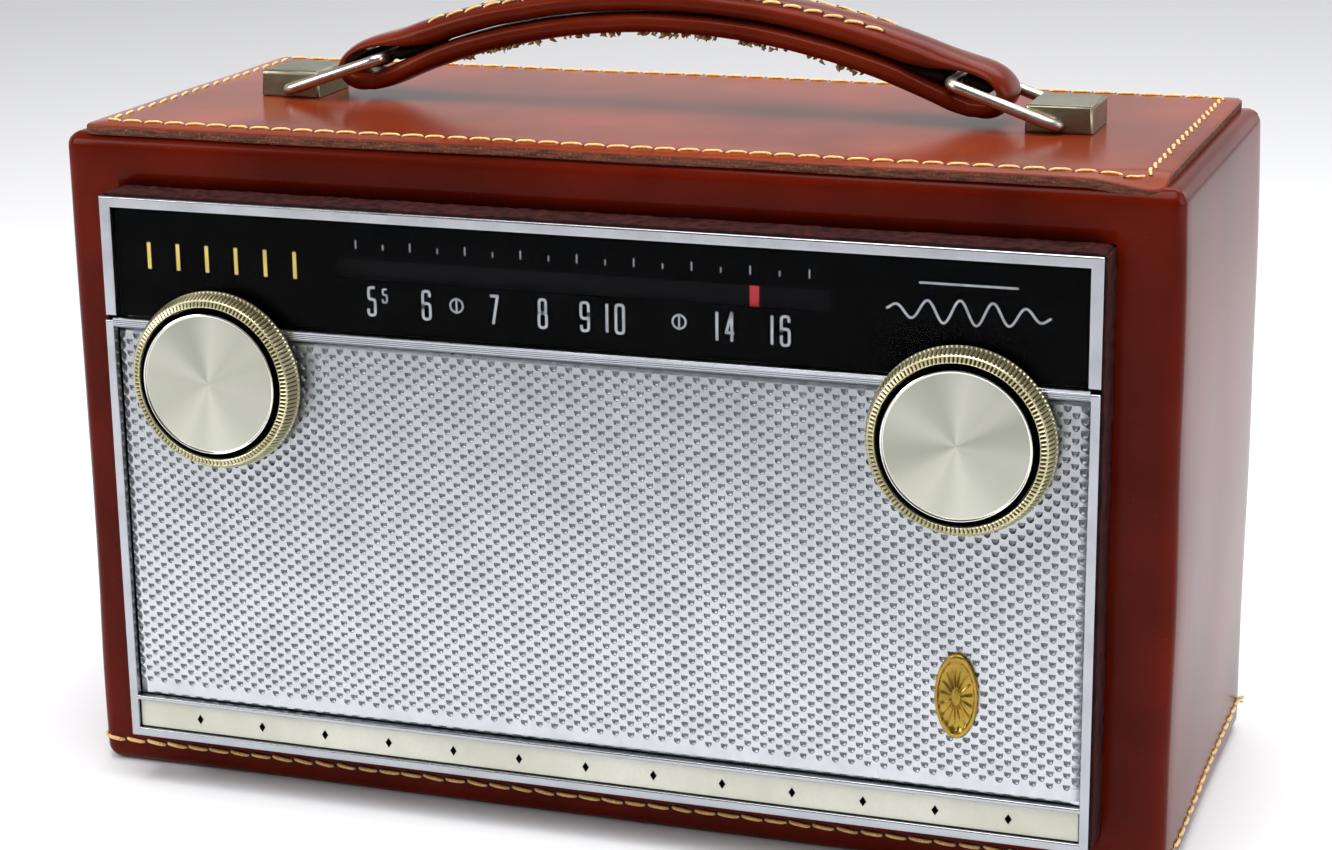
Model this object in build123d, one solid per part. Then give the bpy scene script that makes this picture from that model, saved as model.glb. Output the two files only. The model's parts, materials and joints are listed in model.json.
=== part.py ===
from build123d import *
from math import asin, atan2, cos, degrees, hypot, pi, radians, sin
import os

# Leather-cased portable transistor radio, in millimetres.
# X runs left to right seen from the front, the front faces -Y, Z is up.
# The origin is the middle of the flat base, on the surface the radio stands on.

# ---------------------------------------------------------------- driving dimensions
case_width = 258.6
case_depth = 107.0
case_height = 154.6          # leather body, without the top panel
leather = 2.3                # thickness of every leather panel
case_radius = 5.0            # rounding of the body's edges
front = -case_depth / 2      # outer face of the front leather
rear = case_depth / 2        # outer face of the back cover
wrap_rear = rear - leather   # the back cover lies on this face

panel_width = 230.0          # metal front panel
panel_bottom = 12.0
panel_top = 142.5
panel_proud = 10.6           # the front panel stands this far out of the leather
panel_face = front - panel_proud
frame_step = 0.3             # the lower frame stands prouder than the upper one
rail = 2.1                   # width of the lower frame's rails
joint_bottom = 113.75        # gap between the two frames at the sides
joint_top = 114.65
crossbar_bottom = 112.1
crossbar_top = 114.35
thin_bar_bottom = 21.05
thin_bar_top = 22.2
panel_rear = -49.4           # back of the frames, against the chassis plate
flange = 3.5                 # frame flange behind the leather

knob_x = 86.3                # both knobs, left and right of the middle
knob_z = 102.0
skirt_radius = 20.5
annulus_radius = 17.7
cap_radius = 16.3
knob_face = panel_face - 6.7
shaft_radius = 3.0
running = 0.05               # radial clearance of a turning shaft

slot_left, slot_right = -57.6, 56.8      # clear window in the dial
slot_bottom, slot_top = 126.5, 131.2
pointer_rest = 39.65
pointer_low, pointer_high = -51.0, 52.0  # ends of the pointer's travel
drum_radius = (pointer_high - pointer_low) / pi   # half a turn moves it all the way
cord_radius = 0.4
cord_y = -43.8

plate_front = panel_rear     # chassis plate
plate_rear = plate_front + 1.2
speaker_z = 66.0
speaker_radius = 51.0
cone_radius = 42.0

lid_top = case_height + leather
bracket_x = 93.2             # handle brackets on the top panel
bracket_size = (15.5, 17.6, 6.4)
bracket_screw_x = bracket_x + 4.4
ring_pivot_x = 93.5
ring_pivot_z = lid_top + 1.85
ring_wire = 1.1
ring_reach = 26.0
ring_rest_angle = 19.0
ring_corner = 1.6
ring_half_width = bracket_size[1] / 2 + 0.2 + ring_corner
strap_half_width = 8.0

screw_radius = 1.5


# ---------------------------------------------------------------- helpers
def block(x, y, z):
    """A box between two planes on each axis, each given as (low, high)."""
    middle = Pos((x[0] + x[1]) / 2, (y[0] + y[1]) / 2, (z[0] + z[1]) / 2)
    return middle * Box(x[1] - x[0], y[1] - y[0], z[1] - z[0])


def rod_x(x, y, z, radius):
    turned = Rot(0, 90, 0) * Cylinder(radius, x[1] - x[0])
    return Pos((x[0] + x[1]) / 2, y, z) * turned


def rod_y(x, y, z, radius):
    turned = Rot(90, 0, 0) * Cylinder(radius, y[1] - y[0])
    return Pos(x, (y[0] + y[1]) / 2, z) * turned


def rod_z(x, y, z, radius):
    return Pos(x, y, (z[0] + z[1]) / 2) * Cylinder(radius, z[1] - z[0])


def tube_y(x, y, z, outer, inner):
    return rod_y(x, y, z, outer) - rod_y(x, (y[0] - 1, y[1] + 1), z, inner)


def mirrored(shape):
    """The shape and its mirror image across the middle plane."""
    return shape + mirror(shape, Plane.YZ)


def turned_about_y(x, z, outline):
    """A body of revolution about the Y axis through (x, z).

    The outline is a list of (radius, y) corners."""
    face = make_face(Polyline(*outline, close=True))
    return Pos(x, 0, z) * revolve(face, Axis.Y)


def soften_front(shape, radius):
    """Rounds every edge of the face that looks forward."""
    return fillet(shape.faces().sort_by(Axis.Y)[0].edges(), radius)


# ---------------------------------------------------------------- leather case
bottom_half_x = case_width / 2 - 12
bottom_front, bottom_rear = front + 12, wrap_rear - 12
back_half_x = case_width / 2 - 13.5
back_bottom, back_top = 15.0, 138.0
snap_x, snap_z = 70.0, 143.5
snap_stud_radius = 2.2


def leather_wrap():
    depth = wrap_rear - front
    middle = Pos(0, (front + wrap_rear) / 2, case_height / 2)
    outer = fillet(Box(case_width, depth, case_height).edges(), case_radius)
    inner = Box(case_width - 2 * leather, depth - 2 * leather, case_height - 2 * leather)
    shell = middle * (outer - fillet(inner.edges(), case_radius - leather))
    window = block((-panel_width / 2 - 0.4, panel_width / 2 + 0.4), (front - 1, front + 4),
                   (panel_bottom - 0.4, panel_top + 0.4))
    base = block((-bottom_half_x, bottom_half_x), (bottom_front, bottom_rear), (-1, 4))
    back = block((-back_half_x, back_half_x), (wrap_rear - 4, wrap_rear + 1),
                 (back_bottom, back_top))
    studs = mirrored(rod_y(snap_x, (wrap_rear - 4, wrap_rear + 1), snap_z, snap_stud_radius))
    screws = bracket_screw_holes((case_height - 4, case_height + 1))
    return shell - window - base - back - studs - screws


def bottom_panel():
    gap = 0.2
    plug = block((-bottom_half_x + gap, bottom_half_x - gap),
                 (bottom_front + gap, bottom_rear - gap), (0, leather))
    lap = block((-bottom_half_x - 6, bottom_half_x + 6),
                (bottom_front - 6, bottom_rear + 6), (leather, leather + 1.2))
    return plug + lap


def bracket_screw_holes(z):
    holes = [rod_z(bracket_screw_x, y, z, screw_radius + 0.02) for y in (-5, 5)]
    return mirrored(holes[0] + holes[1])


def top_panel():
    plate = block((-124.6, 124.6), (front + 0.7, wrap_rear + 0.4), (case_height, lid_top))
    plate = fillet(plate.edges().filter_by(Axis.Z), 3.0)
    return plate - bracket_screw_holes((case_height - 1, lid_top + 1))


def inner_cabinet():
    wall = 3.0
    x = case_width / 2 - leather - 0.3
    y = (panel_rear + 0.1, wrap_rear - leather - 0.4)
    z = (leather + 1.3, case_height - leather - 0.1)
    outer = fillet(block((-x, x), y, z).edges(), 2.4)
    hollow = block((wall - x, x - wall), (y[0] - 1, y[1] + 1), (z[0] + wall, z[1] - wall))
    return outer - hollow - bracket_screw_holes((z[1] - wall - 1, z[1] + 1))


cabinet_floor = leather + 1.3 + 3.0
cabinet_ceiling = case_height - leather - 0.1 - 3.0


def back_cover():
    panel = block((-123.5, 123.5), (wrap_rear, rear), (6.5, 148.8))
    panel = fillet(panel.edges().filter_by(Axis.Y), 3.0)
    board = block((-back_half_x + 1.2, back_half_x - 1.2), (wrap_rear - 3.0, wrap_rear),
                  (back_bottom + 1.2, back_top - 1.2))
    sockets = mirrored(rod_y(snap_x, (wrap_rear - 1, rear + 1), snap_z, 4.0))
    return panel + board - sockets


def snap_studs():
    """Two studs riveted to the case, one near each top corner of the back."""
    post = rod_y(snap_x, (wrap_rear - leather, wrap_rear + 1.4), snap_z, snap_stud_radius)
    washer = rod_y(snap_x, (wrap_rear - leather - 0.3, wrap_rear - leather), snap_z, 4.2)
    return mirrored(post + washer)


def snap_caps():
    """The sockets in the back cover that press onto the studs."""
    socket = tube_y(snap_x, (wrap_rear, rear), snap_z, 4.0, snap_stud_radius + 0.4)
    dome = turned_about_y(snap_x, snap_z, [(0, rear), (6.0, rear), (5.4, rear + 0.6),
                                           (3.0, rear + 1.0), (0, rear + 1.1)])
    return mirrored(socket + dome)


# ---------------------------------------------------------------- front panel
def frame_studs(z_places, length):
    """Threaded studs that hold a frame against the chassis plate."""
    x = panel_width / 2 + 1.6
    studs = [rod_y(x, (panel_rear - 0.5, panel_rear + length), z, screw_radius)
             for z in z_places]
    return mirrored(studs[0] + studs[1:])


upper_stud_z = (124.5, 139.0)
lower_stud_z = (18.0, 77.0)
stud_length = 4.0


def upper_bezel():
    half = panel_width / 2
    inner = half - 2.75
    rails = block((-half, half), (panel_face, panel_rear), (joint_top, panel_top))
    rails -= block((-inner, inner), (panel_face - 1, panel_rear + 1),
                   (joint_top - 1, panel_top - 2.6))
    rails = soften_front(rails, 0.45)
    lip = block((-half - flange, half + flange), (front + leather, panel_rear),
                (joint_top, panel_top + flange))
    lip -= block((-inner, inner), (front, panel_rear + 1), (joint_top - 1, panel_top - 2.6))
    return rails + lip + frame_studs(upper_stud_z, stud_length)


def lower_bezel():
    half = panel_width / 2
    face = panel_face - frame_step
    rails = block((-half, half), (face, panel_rear), (panel_bottom, joint_bottom))
    rails -= block((-half + rail, half - rail), (face - 1, panel_rear + 1),
                   (panel_bottom + rail, joint_bottom + 1))
    crossbar = block((rail - half, half - rail), (face, face + 4.5),
                     (crossbar_bottom, crossbar_top))
    thin_bar = block((rail - half, half - rail), (face, face + 3.0),
                     (thin_bar_bottom, thin_bar_top))
    frame = soften_front(rails + crossbar + thin_bar, 0.4)
    lip = block((-half - flange, half + flange), (front + leather, panel_rear),
                (panel_bottom - flange, joint_bottom))
    lip -= block((rail - half, half - rail), (front, panel_rear + 1),
                 (panel_bottom + rail, joint_bottom + 1))
    return frame + lip + frame_studs(lower_stud_z, stud_length)


dial_half = panel_width / 2 - 2.75 - 0.2
dial_bottom = crossbar_top + 0.2
dial_height_top = panel_top - 2.6 - 0.2
glass_face = panel_face + 0.55
glass_rear = glass_face + 2.0
mask_rear = glass_rear + 0.6


def dial_glass():
    return block((-dial_half, dial_half), (glass_face, glass_rear),
                 (dial_bottom, dial_height_top))


def dial_mask():
    sheet = block((-dial_half, dial_half), (glass_rear, mask_rear),
                  (dial_bottom, dial_height_top))
    return sheet - block((slot_left, slot_right), (glass_rear - 1, mask_rear + 1),
                         (slot_bottom, slot_top))


def dial_backplate():
    """Dark plate behind the pointer, on two legs from the chassis plate."""
    sheet = block((-64, 64), (-58.4, -57.6), (122, 134))
    legs = mirrored(block((61, 64), (-57.6, plate_front), (124, 132)))
    return sheet + legs


def grille_panel():
    half = panel_width / 2 - rail - 0.3
    low, high = thin_bar_top + 0.2, crossbar_bottom - 0.3
    face = panel_face + 0.9
    sheet = block((-half, half), (face, face + 0.8), (low, high))
    edge = block((-half, half), (face + 0.8, face + 4.0), (low, high))
    edge -= block((0.8 - half, half - 0.8), (face, face + 5.0), (low + 0.8, high - 0.8))
    holes = mirrored(rod_y(knob_x, (face - 1, face + 2), knob_z, 5.5))
    return sheet + edge - holes


def nameplate_strip():
    half = panel_width / 2 - rail - 0.3
    return block((-half, half), (panel_face + 0.7, panel_face + 1.7),
                 (panel_bottom + rail + 0.3, thin_bar_bottom - 0.3))


badge_x, badge_z = 85.7, 44.6


def badge():
    """A small upright oval medallion on the grille."""
    face = panel_face + 0.9
    oval = Plane.XZ * Ellipse(4.8, 9.6)
    oval = Pos(badge_x, face, badge_z) * extrude(oval, 1.2)
    return oval


# ---------------------------------------------------------------- knobs
def knob_skirt(x):
    """Outer ring, recessed in front, with a hub on the shaft behind."""
    back = panel_face - frame_step - 0.5
    floor = knob_face + 2.6
    ring = turned_about_y(x, knob_z, [
        (shaft_radius + 0.02, floor), (annulus_radius, floor),
        (annulus_radius, knob_face + 0.5), (skirt_radius - 1.5, knob_face + 0.4),
        (skirt_radius - 0.9, knob_face + 1.2), (skirt_radius, back - 1.6),
        (skirt_radius, back - 0.3), (skirt_radius - 1.0, back), (shaft_radius + 0.02, back)])
    hub = tube_y(x, (back, back + 5.0), knob_z, 5.0, shaft_radius + 0.02)
    return ring + hub


def knob_insert(x):
    """Black dish between the ring and the cap."""
    return tube_y(x, (knob_face + 1.5, knob_face + 2.6), knob_z, annulus_radius - 0.05,
                  shaft_radius + 0.02)


def knob_cap(x):
    """Thin spun disc, glued on the dish."""
    return turned_about_y(x, knob_z, [
        (0, knob_face + 1.5), (cap_radius, knob_face + 1.5), (cap_radius, knob_face + 0.3),
        (cap_radius - 0.4, knob_face + 0.05), (cap_radius - 0.9, knob_face + 0.1),
        (cap_radius - 1.3, knob_face + 0.3), (0, knob_face + 0.15)])


def tuning_shaft():
    return rod_y(knob_x, (knob_face + 1.5, gang_rear + 3.0), knob_z, shaft_radius)


def volume_shaft():
    return rod_y(-knob_x, (knob_face + 1.5, plate_rear + 8.0), knob_z, shaft_radius)


def shaft_bushings():
    """A threaded bush and its nut for each shaft in the chassis plate."""
    bore = shaft_radius + running
    bush = tube_y(knob_x, (plate_front - 3.0, plate_rear), knob_z, 4.9, bore)
    collar = tube_y(knob_x, (plate_front - 3.0, plate_front), knob_z, 7.0, bore)
    return mirrored(bush + collar)


# ---------------------------------------------------------------- tuning drive
gang_front, gang_rear = -40.0, -10.0
gang_half = 19.0
gang_plate = 1.4
plate_count = 8
plate_pitch = (gang_rear - gang_front - 2 * gang_plate) / (plate_count + 1)
vane = 0.6
shelf_top = 65.5


def dial_drum():
    groove = drum_radius - cord_radius - 0.4
    rim = turned_about_y(knob_x, knob_z, [
        (drum_radius - 4, cord_y - 1.9), (drum_radius + 1.2, cord_y - 1.9),
        (drum_radius + 1.2, cord_y - 1.2), (groove, cord_y - 0.9), (groove, cord_y + 0.9),
        (drum_radius + 1.2, cord_y + 1.2), (drum_radius + 1.2, cord_y + 1.9),
        (drum_radius - 4, cord_y + 1.9)])
    web = tube_y(knob_x, (cord_y - 0.6, cord_y + 0.6), knob_z, drum_radius - 3.9, 6.0)
    for turn in range(0, 360, 60):
        away = 18.0
        web -= rod_y(knob_x + away * cos(radians(turn)), (cord_y - 2, cord_y + 2),
                     knob_z + away * sin(radians(turn)), 6.0)
    hub = tube_y(knob_x, (cord_y - 1.9, cord_y + 2.6), knob_z, 6.1, shaft_radius + 0.02)
    return rim + web + hub


def tuning_capacitor_frame():
    """Two end plates joined by side rails, standing on the bracket's shelf."""
    x = (knob_x - gang_half, knob_x + gang_half)
    z = (shelf_top, knob_z + gang_half)
    ends = block(x, (gang_front, gang_front + gang_plate), z)
    ends += block(x, (gang_rear - gang_plate, gang_rear), z)
    ends -= rod_y(knob_x, (gang_front - 1, gang_rear + 1), knob_z, shaft_radius + running)
    low_rail = block(x, (gang_front, gang_rear), (shelf_top, shelf_top + 1.5))
    high_rail = block(x, (gang_front, gang_rear), (z[1] - 1.5, z[1]))
    return ends + low_rail + high_rail


def vane_places():
    first = gang_front + gang_plate + plate_pitch
    return [first + number * plate_pitch for number in range(plate_count)]


def tuning_stator():
    """Fixed vanes below the shaft, on two insulating bars."""
    vanes = []
    for y in vane_places():
        sheet = block((knob_x - 17, knob_x + 17), (y - vane / 2, y + vane / 2),
                      (knob_z - 18.5, knob_z - 0.8))
        vanes.append(sheet - rod_y(knob_x, (y - 1, y + 1), knob_z, 5.0))
    bars = [block((knob_x + side - 1, knob_x + side + 1),
                  (gang_front + gang_plate, gang_rear - gang_plate),
                  (knob_z - 20.5, knob_z - 18.5)) for side in (-12, 12)]
    return vanes[0] + vanes[1:] + bars


rotor_open = degrees((pointer_rest - pointer_low) / drum_radius)


def tuning_rotor():
    """Half-round vanes on a sleeve, nearly clear of the fixed vanes at rest."""
    sleeve = tube_y(knob_x, (gang_front + gang_plate + 0.3, gang_rear - gang_plate - 0.3),
                    knob_z, 4.2, shaft_radius + 0.02)
    rotor = sleeve
    for y in vane_places():
        middle = y - plate_pitch / 2
        disc = rod_y(0, (middle - vane / 2, middle + vane / 2), 0, 16.0)
        disc -= block((-17, 17), (middle - 1, middle + 1), (0, 17))
        disc -= rod_y(0, (middle - 1, middle + 1), 0, 4.0)
        rotor += Pos(knob_x, 0, knob_z) * Rot(0, rotor_open, 0) * disc
    return rotor


def capacitor_bracket():
    shelf = block((knob_x - 20, knob_x + 20), (plate_rear, gang_rear + 1),
                  (shelf_top - 1.5, shelf_top))
    foot = block((knob_x - 20, knob_x + 20), (plate_rear, plate_rear + 1.5),
                 (shelf_top - 14, shelf_top - 1.5))
    return shelf + foot


rail_z = 139.5
rail_radius = 1.2
rail_bracket_x = 69.5
top_run_z = knob_z + drum_radius + cord_radius


def pointer_rail():
    """Polished rod held at each end by a small bracket on the chassis plate."""
    x = (rail_bracket_x - 1.5, rail_bracket_x + 1.5)
    arm = block(x, (plate_rear, cord_y + 2.2), (rail_z - 2.4, rail_z + 2.6))
    arm -= rod_x((x[0] - 1, x[1] + 1), cord_y, rail_z, rail_radius + 0.02)
    rod = rod_x((-x[1], x[1]), cord_y, rail_z, rail_radius)
    return mirrored(arm) + rod


def dial_pointer():
    """Needle in front of the back plate, an arm over it and a slider on the rail."""
    x = pointer_rest
    needle = block((x - 1.0, x + 1.0), (mask_rear + 0.7, mask_rear + 1.4), (125.2, 137.2))
    arm = block((x - 1.5, x + 1.5), (mask_rear + 0.7, cord_y - 2.0), (136.0, 137.2))
    slider = block((x - 5, x + 5), (cord_y - 2.2, cord_y + 2.2), (136.9, 141.6))
    slider -= rod_x((x - 6, x + 6), cord_y, rail_z, rail_radius + running)
    return needle + arm + slider


post_radius = 2.5
left_post = (-72.0, top_run_z - post_radius - cord_radius)
right_post = (47.0, left_post[1] - 2 * (post_radius + cord_radius))


def cord_posts():
    """Smooth nylon posts that the dial cord runs round."""
    posts = [rod_y(x, (plate_rear, cord_y + 2.0), z, post_radius - 0.2)
             for x, z in (left_post, right_post)]
    return posts[0] + posts[1]


def dial_cord():
    """From the drum's top, round the left post, over the right one, back under the drum."""
    bend = post_radius + cord_radius
    wrap = drum_radius + cord_radius
    low_run = left_post[1] - bend
    across, down = knob_x - right_post[0], knob_z - right_post[1]
    heading = atan2(down, across) - asin((wrap + bend) / hypot(across, down))
    side = (-sin(heading), cos(heading))
    leaves_post = (right_post[0] + bend * side[0], right_post[1] + bend * side[1])
    meets_drum = (knob_x - wrap * side[0], knob_z - wrap * side[1])
    drum_angle = 180 + degrees(heading) + 90
    path = (
        CenterArc((knob_x, knob_z), wrap, 5, 85)
        + Line((knob_x, top_run_z), (left_post[0], top_run_z))
        + CenterArc(left_post, bend, 90, 180)
        + Line((left_post[0], low_run), (right_post[0], low_run))
        + CenterArc(right_post, bend, 90, degrees(heading))
        + Line(leaves_post, meets_drum)
        + CenterArc((knob_x, knob_z), wrap, drum_angle, 355 - drum_angle))
    path = Plane.XZ.offset(-cord_y) * path
    return sweep((path ^ 0) * Circle(cord_radius), path=path)


# ---------------------------------------------------------------- chassis and speaker
board_x, board_y, board_z = (-115.0, 60.0), (-4.0, -2.4), (44.0, 134.0)
standoff_places = ((-110, 49), (-110, 120), (40, 120), (54, 49))
speaker_screw_places = [(46.5 * cos(radians(turn)), speaker_z + 46.5 * sin(radians(turn)))
                        for turn in (45, 135, 225, 315)]
box_rear = 46.0


def chassis_plate():
    plate = block((-121, 121), (plate_front, plate_rear), (8, 148))
    plate = fillet(plate.edges().filter_by(Axis.Y), 4)
    plate -= rod_y(0, (plate_front - 1, plate_rear + 1), speaker_z, cone_radius)
    plate -= block((-62, 62), (plate_front - 1, plate_rear + 1), (135.2, 143))
    plate -= mirrored(rod_y(knob_x, (plate_front - 1, plate_rear + 1), knob_z, 4.92))
    x = panel_width / 2 + 1.6
    for z in upper_stud_z + lower_stud_z:
        plate -= mirrored(rod_y(x, (plate_front - 1, plate_rear + 1), z, screw_radius + 0.2))
    for x, z in speaker_screw_places + list(standoff_places):
        plate -= rod_y(x, (plate_front - 1, plate_rear + 1), z, screw_radius + 0.02)
    return plate


def hex_nut(x, y, z):
    """An M3 nut with its axis along Y."""
    body = extrude(Plane.XZ * RegularPolygon(2.75, 6, major_radius=False), -2.4)
    body -= rod_y(0, (-1, 4), 0, screw_radius + 0.02)
    return Pos(x, y, z) * body


def front_panel_nuts():
    x = panel_width / 2 + 1.6
    nuts = [hex_nut(side * x, plate_rear, z) for side in (-1, 1)
            for z in upper_stud_z + lower_stud_z]
    return nuts[0] + nuts[1:]


def pan_screw(x, y, z, length):
    """A screw driven forward along -Y, its head at y."""
    head = turned_about_y(0, 0, [(0, 0), (2.8, 0), (2.6, 1.4), (1.6, 2.0), (0, 2.1)])
    head -= block((-2.2, 2.2), (1.2, 3), (-0.35, 0.35))
    return Pos(x, y, z) * (head + rod_y(0, (-length, 0), 0, screw_radius))


def small_screws():
    """Screws that hold the speaker to the plate and the circuit board to its posts."""
    screws = [pan_screw(x, plate_rear + 1.2, z, 2.4) for x, z in speaker_screw_places]
    screws += [pan_screw(x, board_y[1], z, 6.0) for x, z in standoff_places]
    return screws[0] + screws[1:]


def speaker_frame():
    back, depth = plate_rear, 22.0
    basket = turned_about_y(0, speaker_z, [
        (cone_radius, back), (speaker_radius, back), (speaker_radius, back + 1.2),
        (cone_radius + 1.2, back + 1.2), (22.0, back + depth), (10.0, back + depth),
        (10.0, back + depth - 1.2), (21.2, back + depth - 1.2)])
    for turn in range(0, 360, 90):
        window = block((-9, 9), (back + 4, back + depth - 4), (20, 45))
        basket -= Pos(0, 0, speaker_z) * Rot(0, turn, 0) * window
    for x, z in speaker_screw_places:
        basket -= rod_y(x, (back - 1, back + 3), z, screw_radius + 0.02)
    return basket


def speaker_cone():
    back = plate_rear
    return turned_about_y(0, speaker_z, [
        (cone_radius - 1.8, back + 0.2), (cone_radius - 1.8, back + 0.8),
        (38.0, back + 1.2), (11.0, back + 18.0), (0, back + 14.0),
        (0, back + 13.4), (10.8, back + 17.2), (37.6, back + 0.6)])


def speaker_magnet():
    back = plate_rear + 22.0
    return turned_about_y(0, speaker_z, [
        (0, back), (19.0, back), (19.0, back + 3.0), (16.0, back + 3.0), (16.0, back + 12.0),
        (19.0, back + 12.0), (19.0, back + 15.0), (0, back + 15.0)])


def volume_control():
    """Round can with three solder lugs, clamped behind the chassis plate."""
    can = rod_y(-knob_x, (plate_rear, plate_rear + 14), knob_z, 12.0)
    can -= rod_y(-knob_x, (plate_rear - 1, plate_rear + 9), knob_z, shaft_radius + running)
    lugs = [block((-knob_x + shift - 1.2, -knob_x + shift + 1.2),
                  (plate_rear + 3, plate_rear + 3.8), (knob_z - 18, knob_z - 10))
            for shift in (-6, 0, 6)]
    return can + lugs


# ---------------------------------------------------------------- electronics
def circuit_board():
    board = block(board_x, board_y, board_z)
    for x, z in standoff_places:
        board -= rod_y(x, (board_y[0] - 1, board_y[1] + 1), z, screw_radius + 0.02)
    return board


def board_posts():
    posts = [tube_y(x, (plate_rear, board_y[0]), z, 3.0, screw_radius + 0.02)
             for x, z in standoff_places]
    return posts[0] + posts[1:]


def if_transformers():
    """Four square screening cans in a row."""
    cans = []
    for x in (-92, -62, -32, -2):
        can = block((x - 6, x + 6), (board_y[1], board_y[1] + 15), (112, 124))
        can = fillet(can.edges().filter_by(Axis.Y), 1.2)
        cans.append(can - rod_y(x, (board_y[1] + 13, board_y[1] + 16), 118, 2.2))
    return cans[0] + cans[1:]


def audio_transformers():
    """Driver and output transformers: a winding inside a laminated core."""
    pieces = []
    for x in (-90, -56):
        core = block((x - 12, x + 12), (board_y[1], board_y[1] + 12), (52, 72))
        core -= block((x - 8, x + 8), (board_y[1] - 1, board_y[1] + 13), (56, 68))
        winding = block((x - 7.8, x + 7.8), (board_y[1], board_y[1] + 17), (56.2, 67.8))
        pieces += [core, winding]
    return pieces[0] + pieces[1:]


def transistors():
    cans = []
    for x, z in ((-92, 96), (-70, 90), (-50, 96), (-28, 90), (-6, 96), (16, 90), (32, 96)):
        cans.append(turned_about_y(x, z, [
            (0, board_y[1]), (4.6, board_y[1]), (4.6, board_y[1] + 1.0),
            (3.9, board_y[1] + 1.2), (3.9, board_y[1] + 7.4), (3.4, board_y[1] + 8.0),
            (0, board_y[1] + 8.0)]))
    return cans[0] + cans[1:]


def electrolytic_capacitors():
    cans = [rod_x((x - 11, x + 11), board_y[1] + radius, z, radius)
            for x, z, radius in ((-20, 62, 5.0), (10, 62, 5.0), (-20, 76, 4.0), (36, 72, 4.0))]
    return cans[0] + cans[1:]


def resistors():
    """Carbon rods lying in three rows across the board."""
    rods = []
    for z in (82, 105, 129):
        for step in range(9):
            x = -98 + 16 * step
            rods.append(rod_x((x - 4.5, x + 4.5), board_y[1] + 1.6, z, 1.6))
    return rods[0] + rods[1:]


aerial_y, aerial_z = 28.0, 139.0


def ferrite_rod():
    return rod_x((-95, 95), aerial_y, aerial_z, 4.75)


def aerial_coils():
    coils = [rod_x(x, aerial_y, aerial_z, 6.0) - rod_x((x[0] - 1, x[1] + 1), aerial_y,
                                                       aerial_z, 4.8)
             for x in ((-52, -14), (30, 42))]
    return coils[0] + coils[1]


def aerial_clips():
    clip = block((67, 73), (aerial_y - 7.5, aerial_y + 7.5), (aerial_z - 7.5, cabinet_ceiling))
    clip -= rod_x((66, 74), aerial_y, aerial_z, 4.8)
    return mirrored(clip)


# ---------------------------------------------------------------- battery supply
cell_radius, cell_length = 13.1, 50.0
row_y = (box_rear - 1.0 - 3 * cell_radius - 0.6, box_rear - 1.0 - cell_radius - 0.2)
cell_z = cabinet_floor + 1.0 + cell_radius + 0.1
box_half = 1.5 * cell_length + 6.0


def battery_box():
    y = (row_y[0] - cell_radius - 1.2, box_rear)
    z = (cabinet_floor, cell_z + 6.0)
    tray = block((-box_half - 1, box_half + 1), y, z)
    tray -= block((-box_half, box_half), (y[0] + 1, y[1] - 1), (z[0] + 1, z[1] + 1))
    middle = (row_y[0] + row_y[1]) / 2
    return tray + block((-40, 40), (middle - 0.15, middle + 0.15), (z[0] + 0.5, z[0] + 6))


def battery_cells():
    """Six round cells, two rows of three, each with its brass cap on the right."""
    cells = []
    for y in row_y:
        for step in (-1, 0, 1):
            low = step * cell_length - cell_length / 2
            can = rod_x((low, low + cell_length - 1.8), y, cell_z, cell_radius)
            cap = rod_x((low + cell_length - 1.8, low + cell_length - 0.1), y, cell_z, 3.2)
            cells.append(can + cap)
    return cells[0] + cells[1:]


def battery_contacts():
    """End plates, and a conical spring at the cells' flat ends."""
    plates = []
    for y in row_y:
        for side in (-1, 1):
            face = side * box_half
            x = (min(face, face - side * 0.5), max(face, face - side * 0.5))
            plates.append(block(x, (y - 9, y + 9), (cell_z - 9, cell_z + 4)))
        stud = rod_x((1.5 * cell_length + 0.1, box_half - 0.5), y, cell_z, 3.0)
        plates.append(stud)
        left = Pos(-box_half + 0.9, y, cell_z) * Rot(0, 90, 0)
        coil = Helix(1.4, 4.2, 7.0, cone_angle=-12)
        wire = sweep((coil ^ 0) * Circle(0.4), path=coil)
        plates.append(left * wire)
    return plates[0] + plates[1:]


# ---------------------------------------------------------------- carrying handle
def handle_bracket(side):
    """Metal block with a hole along Y for the ring's wire and two screw holes."""
    width, depth, height = bracket_size
    body = block((bracket_x - width / 2, bracket_x + width / 2), (-depth / 2, depth / 2),
                 (lid_top, lid_top + height))
    upper = body.edges() - body.faces().sort_by(Axis.Z)[0].edges()
    body = fillet(upper, 1.0)
    body -= rod_y(ring_pivot_x, (-depth, depth), ring_pivot_z, ring_wire + running)
    for y in (-5, 5):
        body -= rod_z(bracket_screw_x, y, (lid_top - 1, lid_top + 4.2), screw_radius + 0.02)
    return body if side > 0 else mirror(body, Plane.YZ)


def handle_ring(side):
    """Closed wire loop, one leg through the bracket and the other in the strap."""
    outline = RectangleRounded(ring_reach, 2 * ring_half_width, ring_corner)
    path = outline.faces()[0].outer_wire()
    loop = sweep((path ^ 0) * Circle(ring_wire), path=path)
    loop = Pos(-ring_reach / 2, 0, 0) * loop
    loop = Pos(ring_pivot_x, 0, ring_pivot_z) * Rot(0, ring_rest_angle, 0) * loop
    return loop if side > 0 else mirror(loop, Plane.YZ)


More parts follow.
